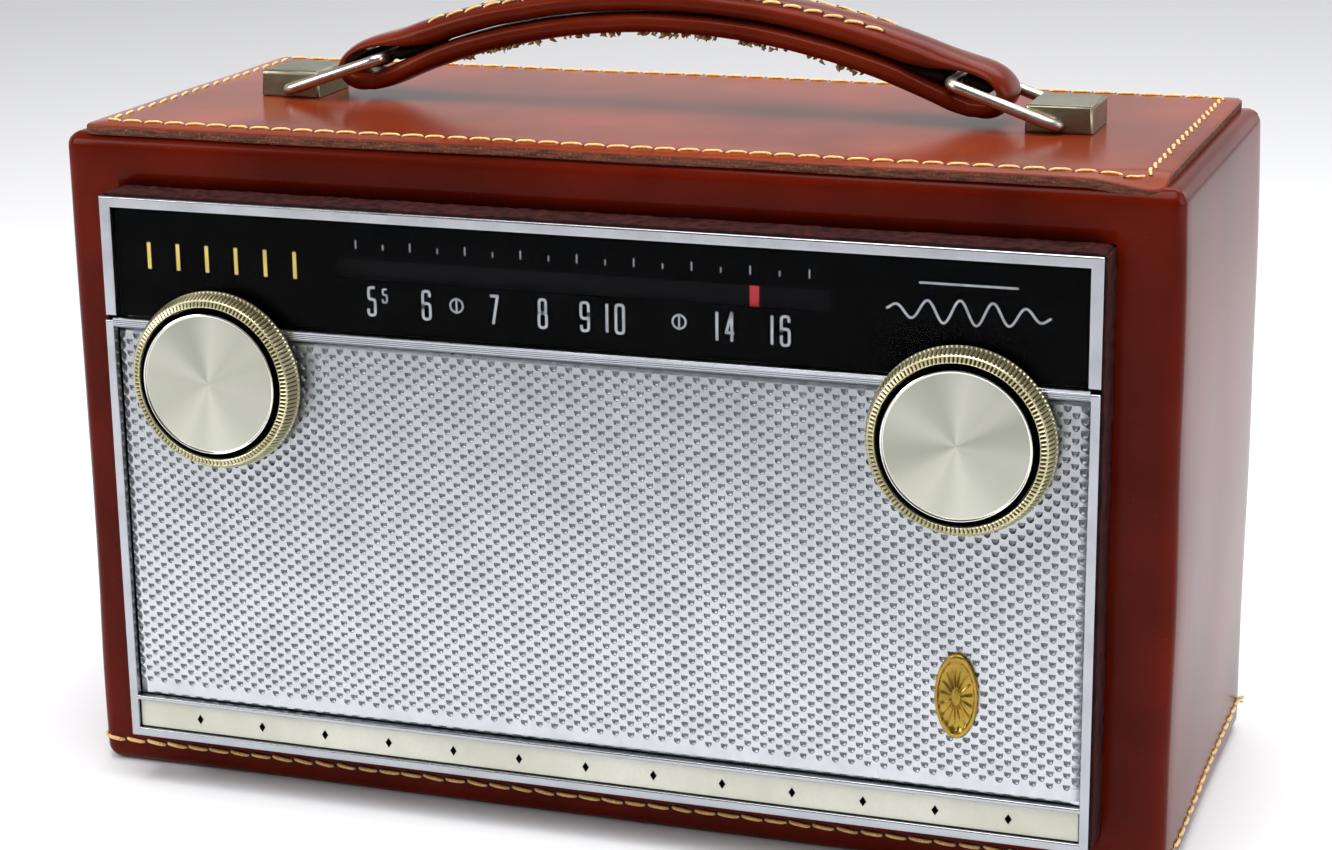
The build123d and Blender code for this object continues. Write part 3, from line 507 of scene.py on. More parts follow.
def tube(path, radius, sides=8, up=Vector((0, 0, 1)), flat=1.0):
    """A round or flattened tube along a path, with a radius or a list of radii."""
    rings = []
    last = len(path) - 1
    for i, p in enumerate(path):
        along = (Vector(path[min(i + 1, last)]) - Vector(path[max(i - 1, 0)])).normalized()
        side = along.cross(up).normalized()
        top = side.cross(along)
        r = radius[i] if isinstance(radius, list) else radius
        rings.append([tuple(Vector(p) + side * r * cos(a) + top * r * flat * sin(a))
                      for a in around(sides)])
    return loft(rings)


def curve_through(places, per_span):
    """A smooth line through the given points."""
    spots = [np.array(p, float) for p in places]
    spots = [2 * spots[0] - spots[1]] + spots + [2 * spots[-1] - spots[-2]]
    line = []
    for a, b, c, d in zip(spots, spots[1:], spots[2:], spots[3:]):
        for i in range(per_span):
            t = i / per_span
            line.append(0.5 * (2 * b + (c - a) * t + (2 * a - 5 * b + 4 * c - d) * t ** 2
                               + (3 * b - a - 3 * c + d) * t ** 3))
    return line + [spots[-2]]


def steps_along(line):
    """Distance from a line's start to each of its points."""
    return np.concatenate([[0], np.cumsum(np.linalg.norm(np.diff(line, axis=0), axis=1))])


def evenly(line, count):
    """count points at equal steps along a line."""
    line = np.array(line)
    gone = steps_along(line)
    want = np.linspace(0, gone[-1], count)
    return np.stack([np.interp(want, gone, line[:, k]) for k in range(line.shape[1])], axis=1)


def rounded_line(corners, radius, closed=False, steps=5):
    """A flat line whose corners are rounded to a radius, as points."""
    spots = [Vector(c) for c in corners]
    count = len(spots)
    line = []
    for i, spot in enumerate(spots):
        if not closed and i in (0, count - 1):
            line.append(spot)
            continue
        before, after = spots[i - 1] - spot, spots[(i + 1) % count] - spot
        r = min(radius, before.length / 2, after.length / 2)
        start, end = spot + before.normalized() * r, spot + after.normalized() * r
        for k in range(steps + 1):
            t = k / steps
            line.append(start * (1 - t) ** 2 + spot * 2 * t * (1 - t) + end * t ** 2)
    return line


def rounded_frame(low, high, radius, count, steps=5):
    """Rounded rectangle between two corners, as count even points whose last meets the first."""
    (u0, v0), (u1, v1) = low, high
    line = rounded_line([(u0, v0, 0), (u1, v0, 0), (u1, v1, 0), (u0, v1, 0)], radius, True, steps)
    return evenly([tuple(v) for v in line] + [tuple(line[0])], count)


def axis_lines(low, high, radius, spacing, cuts):
    """Grid lines across a rounded box on one axis, closer together where it is rounded."""
    steps = [radius * tan(pi / 4 * i / 4) for i in range(5)]
    start, end = low + radius, high - radius
    count = ceil((end - start) / spacing)
    lines = [start - s for s in steps] + [end + s for s in steps]
    lines += [start + (end - start) * i / count for i in range(1, count)]
    return sorted({round(v, 6) for v in lines + list(cuts)})


def rounded_box(low, high, radius, spacing, cuts=((), (), ()), is_open=None):
    """Skin of a box with rounded edges. is_open says which faces to leave out."""
    lines = [axis_lines(low[k], high[k], radius, spacing, cuts[k]) for k in range(3)]
    numbers, points, faces = {}, [], []

    def corner(i):
        if i not in numbers:
            p = Vector([lines[k][i[k]] for k in range(3)])
            core = Vector([min(max(p[k], low[k] + radius), high[k] - radius) for k in range(3)])
            numbers[i] = len(points)
            points.append(core + (p - core).normalized() * radius)
        return numbers[i]

    for axis in range(3):
        a, b = (axis + 1) % 3, (axis + 2) % 3
        for side in (0, len(lines[axis]) - 1):
            for i in range(len(lines[a]) - 1):
                for j in range(len(lines[b]) - 1):
                    middle = [0.0] * 3
                    middle[axis] = lines[axis][side]
                    middle[a] = (lines[a][i] + lines[a][i + 1]) / 2
                    middle[b] = (lines[b][j] + lines[b][j + 1]) / 2
                    if is_open and is_open(axis, side > 0, middle):
                        continue
                    quad = []
                    for u, v in ((i, j), (i + 1, j), (i + 1, j + 1), (i, j + 1)):
                        place = [0] * 3
                        place[axis], place[a], place[b] = side, u, v
                        quad.append(corner(tuple(place)))
                    faces.append(tuple(quad if side else reversed(quad)))
    return points, faces


def smooth_step(value, low, high):
    t = min(max((value - low) / (high - low), 0), 1)
    return t * t * (3 - 2 * t)


# ------------------------------------------------ places from the frame
case_low, case_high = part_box("leather_wrap")
lid_low, lid_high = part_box("top_panel")
cover_low, cover_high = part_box("back_cover")
lower_low, lower_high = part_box("lower_bezel")
glass_low, glass_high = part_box("dial_glass")
grille_low, grille_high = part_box("grille_panel")
plate_low, plate_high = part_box("nameplate_strip")
badge_low, badge_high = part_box("badge")
skirt_low, skirt_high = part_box("tuning_knob_skirt")
cap_low, cap_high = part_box("tuning_knob_cap")
strap_low, strap_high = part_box("handle_strap_upper")
ring_low, ring_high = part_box("handle_ring_right")

leather_thickness = 2.3 * mm
edge_radius = 3.4 * mm
panel_half = 115.0 * mm
panel_bottom, panel_top = 12.0 * mm, 142.5 * mm
panel_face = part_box("upper_bezel")[0].y
dial_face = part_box("dial_mask")[0].y - 0.12 * mm
knob_x = (skirt_low.x + skirt_high.x) / 2
knob_z = (skirt_low.z + skirt_high.z) / 2


# ------------------------------------------------ leather case
def case_push(p):
    """How far the leather body swells or dips at a point, along each axis."""
    x, y, z = p
    across = 1 - (2 * y / (case_high.y - case_low.y)) ** 2
    upward = sin(pi * min(max(z / case_high.z, 0), 1)) ** 0.6
    swell = (1.1 if x > 0 else 0.5) * mm * max(across, 0) ** 0.5 * upward
    swell *= smooth_step(abs(x), 0.118, 0.129)
    wave = noise.noise(Vector((x, y, z)) * 22) * 0.5 * mm
    out = Vector((swell if x > 0 else -swell, 0, 0))
    near = 1 * mm
    if abs(abs(x) - case_high.x) < near:
        out.x += wave
    if abs(y - case_low.y) < near:
        out.y += wave * 0.6
    if z < near:
        out.z = 0
    return out


def add_case():
    """Leather body with openings for the front panel, the back cover and the bottom panel."""
    gap = 0.4 * mm
    front = (panel_half + gap, panel_bottom - gap, panel_top + gap)
    back = (115.8 * mm, 15 * mm, 138 * mm)
    foot = (117.3 * mm, -41.5 * mm, 39.2 * mm)

    def is_open(axis, far, p):
        if axis == 0 or (axis == 2 and far):
            return False
        half, low, high = foot if axis == 2 else back if far else front
        return abs(p[0]) < half and low < p[3 - axis] < high

    cuts = ([side * hole[0] for hole in (front, back, foot) for side in (-1, 1)], foot[1:],
            front[1:] + back[1:])
    points, faces = rounded_box(case_low, case_high, edge_radius, 5 * mm, cuts, is_open)
    points = [p + case_push(p) for p in points]
    shell = ("SOLIDIFY", {"thickness": leather_thickness, "offset": -1.0,
                          "material_offset_rim": 1, "use_even_offset": True})
    # The case takes the darker copy of the hide, as painted shade on its front.
    make_piece("leather_case", points, faces, [hide, cut_edge], "case_leather",
               replaces=["leather_wrap"], modifiers=[shell])


lid_seam = 4.2 * mm


def lid_inset(x, y):
    """Distance of a place on the top panel from its nearest edge."""
    return min(x - lid_low.x, lid_high.x - x, y - lid_low.y, lid_high.y - y)


def lid_drop(x, y):
    """How far the top panel's outline bends down, most at its front right corner."""
    to_edge = lid_inset(x, y)
    rim = 0.45 * mm * (1 - smooth_step(to_edge, 0, 5 * mm))
    corner = hypot(max(lid_high.x - x, 0) * 0.55, max(y - lid_low.y, 0))
    droop = 1.9 * mm * (1 - smooth_step(corner, 0.5 * mm, 9.5 * mm))
    wave = 0.22 * mm * noise.noise(Vector((x, y, 0)) * 30) * (1 - smooth_step(to_edge, 0, 14 * mm))
    return rim + droop - wave


def add_lid():
    """Top panel with rounded corners, a raw edge and a shallow groove under its seam."""
    radius, corner_radius = 0.5 * mm, 3.0 * mm
    groove_depth, groove_half = 0.16 * mm, 1.1 * mm
    low, high = Vector(lid_low), Vector(lid_high)
    points, faces = rounded_box(low, high, radius, 2.5 * mm)
    shaped = []
    for p in points:
        rear = 1 if p.y > 0 else -1
        a = abs(p.x) - (high.x - corner_radius)
        b = p.y - (high.y - corner_radius) if rear > 0 else low.y + corner_radius - p.y
        q = Vector(p)
        if a > 0 and b > 0:
            squeeze = max(a, b) / hypot(a, b)
            q.x = (abs(p.x) - a + a * squeeze) * (1 if p.x > 0 else -1)
            q.y = p.y + rear * (b * squeeze - b)
        groove = 0
        if q.z > high.z - radius:
            groove = groove_depth * max(0, 1 - abs(lid_inset(q.x, q.y) - lid_seam) / groove_half)
        q.z -= lid_drop(q.x, q.y) + groove
        shaped.append(q)
    tones = []
    for face in faces:
        middle = sum((points[i] for i in face), Vector()) / len(face)
        tones.append(0 if middle.z > high.z - 0.35 * mm else 1)
    # The top panel takes the lighter copy of the hide, as painted light from above.
    make_piece("top_panel_leather", shaped, faces, [lit_lid_hide, cut_edge], "case_leather",
               replaces=["top_panel"], tones=tones)


def hole_patch(centre, out, radius, height):
    """A low dark cap over the hole where a thread goes into the leather: painted shade of the hole."""
    out = out.normalized()
    side = out.orthogonal().normalized()
    other = out.cross(side)
    thread_sink = 0.22 * mm
    return loft([[tuple(centre + (side * cos(a) + other * sin(a)) * radius * share
                        + out * (height * rise + thread_sink)) for a in around(8)]
                 for share, rise in ((1.0, 0.0), (0.7, 0.8), (0.15, 1.0))])


def add_stitches(name, route, pitch, slot="case_leather", body="case", thickness=0.38 * mm,
                 slant=11.0, bow=0.25 * mm):
    """A row of arched stitches. route gives (place, outward) along the seam, in close steps."""
    places = np.array([p for p, _ in route])
    outs = np.array([n for _, n in route])
    gone = steps_along(places)
    count = max(1, round(gone[-1] / pitch))
    step = gone[-1] / count
    stations = [-1 + k / 4 for k in range(9)]
    swell = [thickness * (1 - 0.3 * abs(t) ** 3) for t in stations]
    seam = Mesh()

    def at(values, distance):
        return Vector([np.interp(distance, gone, values[:, c]) for c in range(3)])

    for i in range(count):
        reach = step * 0.9 / 2 * random.uniform(0.94, 1.05)
        skew = radians(slant + random.uniform(-4, 4))
        middle = (i + 0.5) * step
        path = []
        for t in stations:
            here = middle + t * reach
            p = at(places, here)
            n = at(outs, here).normalized()
            along = at(places, here + 0.2 * mm) - p
            side = n.cross(along).normalized() if along.length > 0 else Vector((0, 1, 0))
            lift = thickness * (0.75 * (1 - t ** 4) - 0.55 * t ** 8)
            path.append(p + n * lift + side * (t * reach * tan(skew) + bow * (1 - t * t)))
        seam.add(*tube(path, swell, 7, n, 0.85))
        for end, point in ((-1, path[0]), (1, path[-1])):
            seam.add(*hole_patch(point, at(outs, middle + end * reach), thickness * 1.25,
                                 thickness * 0.25), tone=1)
    return seam.piece(name, [gold_thread, stitch_hole_shade], slot, body=body)


def frame_route(low, high, inset, radius, place):
    """Seam at one distance inside a rectangle. place(u, v) gives each (place, outward)."""
    line = rounded_frame((low[0] + inset, low[1] + inset), (high[0] - inset, high[1] - inset),
                         radius, 700)
    return [place(u, v) for u, v, _ in line]


def foot_route():
    """Seam round the case's foot: left side, front and right side, higher towards the back."""
    count = 500
    side, rear = case_high.x, case_high.y - edge_radius
    outline = [(-side, rear, 0), (-side, case_low.y, 0), (side, case_low.y, 0), (side, rear, 0)]
    line = evenly([tuple(v) for v in rounded_line(outline, edge_radius, steps=8)], count)
    route = []
    for i, (x, y, _) in enumerate(line):
        z = 5.8 * mm + 2.4 * mm * smooth_step(y, case_low.y, case_low.y + 60 * mm)
        p = Vector((x, y, z))
        along = Vector(line[min(i + 1, count - 1)]) - Vector(line[max(i - 1, 0)])
        out = Vector((along.y, -along.x, 0)).normalized()
        route.append((tuple(p + case_push(p)), tuple(out)))
    return route


def add_seams():
    def on_lid(x, y):
        return (x, y, lid_high.z - lid_drop(x, y) - 0.12 * mm), (0, 0, 1)

    add_stitches("top_panel_stitches",
                 frame_route(lid_low.xy, lid_high.xy, lid_seam, 2.5 * mm, on_lid), 5.4 * mm)
    add_stitches("bottom_stitches", foot_route(), 5.6 * mm, slant=-5.0, bow=0.0, thickness=0.48 * mm)


def add_loose_end():
    """Frayed end of the foot seam's thread, at the rear of the right side."""
    tuft = Mesh()
    start = Vector((case_high.x, case_high.y - edge_radius - 1.5 * mm, 8.4 * mm))
    for spread, lift in ((0.4, 0.9), (1.2, 0.2), (0.9, -0.7)):
        tip = start + Vector((1.9 * mm, spread * mm, lift * mm))
        middle = start + Vector((1.3 * mm, 0.2 * spread * mm, 0.8 * lift * mm))
        root = start - Vector((0.4 * mm, 0, 0))
        tuft.add(*tube(curve_through([root, middle, tip], 4), 0.22 * mm, 6))
    tuft.piece("loose_thread_end", [pale_thread], "case_leather")


def add_back_cover():
    """The leather back on its board, with a stitched outline."""
    low, high = Vector(cover_low), Vector(cover_high)
    low.y = case_high.y + 0.05 * mm

    def ripple(p):
        return 0.4 * mm * noise.noise(p * 25)

    def on_cover(x, z):
        return (x, high.y + ripple(Vector((x, high.y, z))) - 0.1 * mm, z), (0, 1, 0)

    points, faces = rounded_box(low, high, 0.8 * mm, 5 * mm)
    points = [p + Vector((0, ripple(p) if p.y > high.y - 0.4 * mm else 0, 0)) for p in points]
    make_piece("back_cover_leather", points, faces, [hide], "cover_leather", body="cover",
               replaces=["back_cover"])
    board_low = Vector((-114.6 * mm, cover_low.y, 16.2 * mm))
    board_high = Vector((114.6 * mm, case_high.y - 0.05 * mm, 136.8 * mm))
    make_piece("back_cover_board", *rounded_box(board_low, board_high, 0.5 * mm, 8 * mm),
               [pressed_board], "cabinet_board", body="cover")
    add_stitches("back_cover_stitches", frame_route(low.xz, high.xz, 4.2 * mm, 3 * mm, on_cover),
                 5.4 * mm, slot="cover_leather", body="cover")


# ------------------------------------------------ carrying handle
handle_half, crown_z = strap_high.y, strap_high.z
upper_radius, lower_radius = 190 * mm, 160 * mm
gap_radius = 172 * mm
lower_crown_z = 175.0 * mm


def arch(crown, radius, x):
    return crown - radius + sqrt(radius ** 2 - x ** 2)


def half_line(crown, radius, end, tail, per_span, counts):
    """Side view of half a band: an arch out to an end, then a curve through a tail, in mm."""
    over = [(x, arch(crown, radius, x)) for x in np.linspace(0, end * mm, 24)]
    down = curve_through([over[-1], *in_mm(*tail)], per_span)
    return [*map(tuple, evenly(over, counts[0])), *map(tuple, evenly(down, counts[1])[1:])]


def band_section(low, high, crown_power, base_power=3.6):
    """Closed section of a padded band between two points of its side view."""
    low, high = Vector((low[0], 0, low[1])), Vector((high[0], 0, high[1]))
    middle, rise = (low + high) / 2, (high - low) / 2
    ring = []
    for a in around(28):
        power = 2 / (crown_power if sin(a) > 0 else base_power)
        across = Vector((0, handle_half * rounded_wave(cos(a), power), 0))
        ring.append(middle + rise * rounded_wave(sin(a), power) + across)
    return ring


def folded_strap():
    """Sections of the strap all the way round: top, right fold, underside, left fold."""
    outer = half_line(crown_z, upper_radius, 66,
                      [(77.5, 169.9), (82.3, 164.6), (80.4, 160.4), (76.8, 158.5), (73, 158.8)],
                      7, (26, 26))
    inner = half_line(crown_z - 5.4 * mm, gap_radius, 56,
                      [(62.5, 169.7), (69, 169.8), (75.8, 168.7), (79.0, 165.6), (76.9, 163.3),
                       (73, 163.2)], 7, (26, 26))
    lower_top = half_line(crown_z - 5.6 * mm, gap_radius, 56, [(64, 166.9), (72.6, 163.3)],
                          6, (24, 10))
    under = half_line(lower_crown_z, lower_radius, 60, [(64, 161.7), (68.5, 159.8), (72.6, 158.75)],
                      6, (24, 10))
    right = [(i, o, 2.5) for i, o in zip(inner, outer)]
    right += [(i, o, 3.0) for i, o in reversed(list(zip(lower_top, under)))]
    left = [((-i[0], i[1]), (-o[0], o[1]), power) for i, o, power in reversed(right[1:-1])]
    return [band_section(*section) for section in right + left]


def soft_push(p):
    """Smooth push along each axis: noise read at three places apart, the same in every run."""
    apart = ((9.3, -1.5, -8.0), (0, 0, 0), (6.3, 3.6, -3.8))
    return Vector([noise.noise(p + Vector(shift)) for shift in apart])


def add_handle():
    """The strap with its soft wrinkles, its two seams, its dark cores of painted shade and its frayed
    underside.
    """
    points, faces = loft(folded_strap(), closed=True)
    points = [p + soft_push(p / (7 * mm)) * (0.16 * mm) for p in points]
    strap = make_piece("handle_strap", points, faces, [band_hide], "strap_leather", body="handle",
                       replaces=["handle_strap_upper", "handle_strap_lower"],
                       modifiers=[("SUBSURF", {"levels": 1, "render_levels": 1})])
    add_cores()
    share, half_thick = 0.74, 2.7 * mm
    rise = half_thick * (1 - share ** 2.5) ** (1 / 2.5)
    for side, label in ((-1, "front"), (1, "rear")):
        route = []
        for x in np.linspace(-58 * mm, 53 * mm, 90):
            z = arch(crown_z, upper_radius, x) - half_thick + rise
            out = Vector((x / upper_radius, side * 0.75, 1)).normalized()
            route.append(((x, side * share * handle_half, z), tuple(out)))
        add_stitches(f"handle_stitches_{label}", route, 5.0 * mm, slot="strap_leather",
                     body="handle", thickness=0.36 * mm)
    add_fibres()


def add_cores():
    """Near-black cores inside the strap's loops, one on each side of the ring's bar: painted shade of
    the loops' hollow insides.
    """
    mouth_core = ((54.5, 171.4, 172.0), (58, 169.4, 170.9), (61, 167.9, 169.9),
                  (64, 166.7, 169.8), (66.2, 166.0, 169.6), (66.9, 166.7, 169.0))
    fold_core = ((71.0, 165.2, 168.2), (71.6, 164.2, 168.9), (74.0, 163.8, 168.4),
                 (76.4, 164.2, 167.2), (77.6, 165.0, 166.2))
    for side, label in ((-1, "left"), (1, "right")):
        for stations, place in ((mouth_core, "mouth"), (fold_core, "fold")):
            rings = [[(side * x * mm, 6.4 * mm * rounded_wave(cos(a), 0.6),
                       ((low + high) / 2 + (high - low) / 2 * sin(a)) * mm) for a in around(16)]
                     for x, low, high in stations]
            core = make_piece(f"handle_shade_core_{place}_{label}", *loft(rings if side < 0 else rings[::-1]),
                              [painted_shade_core], "strap_leather", body="handle", crease=60)


def add_fibres():
    """Ragged fibres of the flesh side, hanging under the lower band's two edges."""
    tufts = Mesh()
    for side in (-1, 1):
        clumps = [random.uniform(-55, 50) * mm for _ in range(17)]
        for centre in clumps:
            for _ in range(random.randint(4, 11)):
                x = centre + random.gauss(0, 1.6) * mm
                root = Vector((x, side * (handle_half - random.uniform(1.2, 4.0) * mm),
                               arch(lower_crown_z, lower_radius, x) + 0.3 * mm))
                length = random.uniform(0.5, 1.5) * mm
                lean = Vector((random.uniform(-1.4, 1.4), side * random.uniform(-0.2, 0.8), -1))
                lean.normalize()
                bend = Vector((random.uniform(-0.5, 0.5), 0, random.uniform(-0.2, 0.3)))
                path = [root + lean * length * t + bend * length * t * t for t in (0, 0.35, 0.7, 1)]
                radius = random.uniform(0.2, 0.6) * mm
                taper = [radius * s for s in (1.4, 1.1, 0.7, 0.2)]
                tufts.add(*tube(path, taper, 5, Vector((0, 1, 0)), 0.35))
    tufts.piece("handle_frayed_fibres", [khaki_fibre], "strap_leather", body="handle")


def add_rings():
    """Wire loops between the brackets and the strap's folds."""
    wire, reach = 1.35 * mm, 26 * mm
    half = ring_high.y - 1.1 * mm
    pivot_x, pivot_z = 93.5 * mm, lid_high.z + 1.85 * mm
    tilt = radians(19)
    upward = Vector((0, 0, 1))
    line = [Vector(p) for p in rounded_frame((0, -half), (reach, half), 2.6 * mm, 121, 6)[:-1]]
    for side, label in ((-1, "left"), (1, "right")):
        rings = []
        for i, p in enumerate(line):
            across = (line[(i + 1) % len(line)] - line[i - 1]).normalized().cross(upward)
            ring = []
            for a in around(16):
                q = p + (across * cos(a) + upward * sin(a)) * wire
                x = pivot_x - q.x * cos(tilt) - q.z * sin(tilt)
                z = pivot_z + q.x * sin(tilt) - q.z * cos(tilt)
                ring.append((side * x, q.y, z))
            rings.append(ring)
        make_piece(f"handle_ring_wire_{label}", *loft(rings, closed=True), [ring_nickel],
                   "ring_nickel", body=f"ring_{label}", replaces=[f"handle_ring_{label}"])


# ------------------------------------------------ front panel
def add_collar():
    """Dark leather collar round the panel's side walls, with a furry cut edge."""
    inner, thick = panel_half + 0.05 * mm, 0.5 * mm
    low, high = panel_bottom - 0.05 * mm, panel_top + 0.05 * mm
    y_back, y_front = case_low.y + 1.0 * mm, panel_face + 1.4 * mm
    rings = []
    for x, z, _ in rounded_frame((-inner, low), (inner, high), 0.4 * mm, 441, 3)[:-1]:
        out = Vector((x / inner, 0, (z - (low + high) / 2) / ((high - low) / 2)))
        if abs(out.x) > abs(out.z):
            out = Vector((1 if out.x > 0 else -1, 0, 0))
        else:
            out = Vector((0, 0, 1 if out.z > 0 else -1))
        p = Vector((x, 0, z))
        rough = noise.noise(p * 900) * 0.25 * mm
        front = y_front + noise.noise(p * 500) * 0.35 * mm
        rings.append([p + out * push + Vector((0, y, 0)) for push, y in
                      ((0, y_back), (thick + rough, y_back), (thick * 0.9 + rough, front), (0, front))])
    make_piece("panel_collar", *loft(rings, closed=True), [collar_hide], "case_leather", crease=50)


def dent_cell():
    """One cell of the sheet, as points (across, down, depth) in cell sizes, and its faces.

    The cell is flat but for one dent: a straight sheared top edge, and a half-round below it.
    The first six points lie on the cell's outline and meet those of its neighbours.
    """
    points = [(-0.5, 0, 0), (0.5, 0, 0), (0.5, 0.5, 0), (0.5, 1, 0), (-0.5, 1, 0), (-0.5, 0.5, 0)]
    for lower, half_width, height, depth in ((0.14, 0.46, 0.48, 0.0), (0.162, 0.40, 0.41, 0.5),
                                             (0.184, 0.26, 0.27, 1.0)):
        points += [(half_width * cos(a), lower + height * sin(a) ** 0.8, depth)
                   for a in (pi * k / 6 for k in range(7))]
    sheet = [(0, 1, 6, 12), (1, 2, 8, 7, 6), (2, 3, 9, 8), (3, 4, 9), (4, 5, 10, 9),
             (5, 0, 12, 11, 10)]
    slope = [(start + k, start + k + 1, start + k + 8, start + k + 7)
             for start in (6, 13) for k in range(6)]
    floor = [(6, 13, 19, 12), (13, 20, 26, 19), tuple(range(20, 27))]
    return points, sheet, slope, floor


def add_grille():
    """Embossed sheet: rows of small dents, alternate rows moved half a pitch."""
    columns = round((grille_high.x - grille_low.x) / (1.83 * mm))
    across = (grille_high.x - grille_low.x) / columns
    down = 2.74 * mm
    dent_depth = 0.5 * mm
    margin = 0.9 * mm
    shaft_hole = 5.5 * mm
    cell, *groups = dent_cell()
    mesh = Mesh()
    for column in range(columns):
        middle = grille_low.x + (column + 0.5) * across
        start = grille_high.z - margin - (0.5 * down if column % 2 else 0)
        count = int((start - grille_low.z - margin) / down)
        for high, low in ((grille_high.z, start), (start - count * down, grille_low.z)):
            levels = [high + (low - high) * k / 4 for k in range(5)]
            strip = [(x, z, 0) for z in levels for x in (middle - across / 2, middle + across / 2)]
            mesh.add(strip, [(2 * k, 2 * k + 2, 2 * k + 3, 2 * k + 1) for k in range(4)])
        for row in range(count):
            top = start - row * down
            if any(hypot(middle - x, top - down / 2 - knob_z) < shaft_hole for x in (-knob_x, knob_x)):
                continue
            size = random.uniform(0.94, 1.04)
            spots = [(middle + u * across * (size if i > 5 else 1), top - v * down, d * dent_depth)
                     for i, (u, v, d) in enumerate(cell)]
            for tone, group in enumerate(groups):
                used = sorted({i for face in group for i in face})
                place = {i: k for k, i in enumerate(used)}
                mesh.add([spots[i] for i in used],
                         [tuple(place[i] for i in reversed(face)) for face in group], tone)
    points = []
    for x, z, depth in mesh.points:
        side = min(x - grille_low.x, grille_high.x - x, z - grille_low.z)
        depth += max(0, 1 - side / (0.9 * mm)) ** 2 * 0.8 * mm
        depth += max(0, 1 - (grille_high.z - z) / (1.2 * mm)) ** 2 * 0.9 * mm
        depth += 0.25 * mm * sin(x * 31 + 1) * sin(z * 47)
        points.append((x, grille_low.y + 0.15 * mm + depth, z))
    # The slopes and floors of the dents take the two darker finishes, as painted shade in the pits.
    make_piece("embossed_grille", points, mesh.faces, [aluminium, dent_shade, dent_floor_painted_shade],
               "grille_aluminium", replaces=["grille_panel"], tones=mesh.tones, crease=20)


# Strokes of each figure, in a box 1 wide and 3 high. True closes a stroke into a loop.
digit_shapes = {
    "0": [([(0, 0), (1, 0), (1, 3), (0, 3)], True)],
    "1": [([(0.5, 0), (0.5, 3)], False)],
    "4": [([(0.72, 0), (0.72, 3), (0, 0.9), (1.05, 0.9)], False)],
    "5": [([(0.95, 3), (0.08, 3), (0.08, 1.7), (0.95, 1.75), (0.95, 0), (0, 0), (0, 0.7)], False)],
    "6": [([(0, 0), (1, 0), (1, 1.7), (0, 1.7)], True),
          ([(0.95, 2.4), (0.95, 3), (0, 3), (0, 1)], False)],
    "7": [([(0, 3), (1, 3), (0.35, 0)], False)],
    "8": [([(0, 0), (1, 0), (1, 1.55), (0, 1.55)], True),
          ([(0.06, 1.55), (0.94, 1.55), (0.94, 3), (0.06, 3)], True)],
    "9": [([(0, 1.3), (1, 1.3), (1, 3), (0, 3)], True),
          ([(0.05, 0.6), (0.05, 0), (1, 0), (1, 2)], False)],
}


def stroke(printing, line, width, closed=False):
    """A flat printed line of even width on the dial."""
    spots = [Vector(p) for p in line]
    count = len(spots)
    back = dial_face + 0.05 * mm
    rings = []
    for i, p in enumerate(spots):
        before = spots[i - 1] if i or closed else p
        after = spots[(i + 1) % count] if i < count - 1 or closed else p
        along = (after - before).normalized()
        across = Vector((-along.y, along.x)) * width / 2
        a, b = p + across, p - across
        rings.append([(a.x, dial_face, a.y), (b.x, dial_face, b.y), (b.x, back, b.y), (a.x, back, a.y)])
    printing.add(*loft(rings, closed=closed))


def write_digits(printing, text, x, z, height, width, weight):
    """Tall narrow dial figures, centred on x."""
    pitch = width + 1.25 * mm * height / (6.6 * mm)
    for i, digit in enumerate(text):
        left = x + (i - (len(text) - 1) / 2) * pitch - width / 2
        for corners, closed in digit_shapes[digit]:
            places = [(left + u * width, z + v * height / 3) for u, v in corners]
            smooth = 0.48 * width if digit not in "147" else 0.01 * mm
            stroke(printing, rounded_line(places, smooth, closed), weight, closed)


def add_dial():
    """The clear window and everything printed on the dial behind it."""
    low, high = Vector(glass_low), Vector(glass_high)
    high.y -= 0.3 * mm
    make_piece("dial_window", *rounded_box(low, high, 0.35 * mm, 20 * mm), [dial_window],
               "dial_glass", replaces=["dial_glass"], crease=30)
    figures, bars = Mesh(), Mesh()
    base = 118.7 * mm
    for text, x in (("5", -48.9), ("6", -35.7), ("7", -19.6), ("8", -8.2), ("9", 1.6), ("10", 8.2),
                    ("14", 33.2), ("16", 45.5)):
        write_digits(figures, text, x * mm, base, 6.3 * mm, 1.75 * mm, 0.62 * mm)
    write_digits(figures, "5", -45.7 * mm, base + 3.1 * mm, 3.0 * mm, 1.1 * mm, 0.42 * mm)
    for x in (-28.5, 23.2):
        ring = in_mm(*[(x + 1.5 * cos(a), 122.2 + 1.5 * sin(a)) for a in around(20)])
        stroke(figures, ring, 0.42 * mm, True)
        stroke(figures, in_mm((x, 120.4), (x, 124.0)), 0.42 * mm)
    for k in range(17):
        x = -52.3 + k * 104.6 / 16
        stroke(figures, in_mm((x, 133.6), (x, 133.6 + (1.2 if k % 2 else 1.9))), 0.3 * mm)
    wave = [(69 + 35 * t, 128.4 + 2.6 * sin(t * 5 * 2 * pi) * sin(pi * t) ** 0.5)
            for t in np.linspace(0, 1, 90)]
    stroke(figures, in_mm(*wave), 0.5 * mm)
    stroke(figures, in_mm((76, 134.3), (97, 134.3)), 0.45 * mm)
    figures.piece("dial_figures", [grey_print], "dial_grey", crease=20)
    for k in range(6):
        x = -104 + 7.3 * k
        stroke(bars, in_mm((x, 125.8), (x, 131.9)), 0.9 * mm)
    bars.piece("dial_gold_marks", [gold_print], "badge_gold", crease=20)


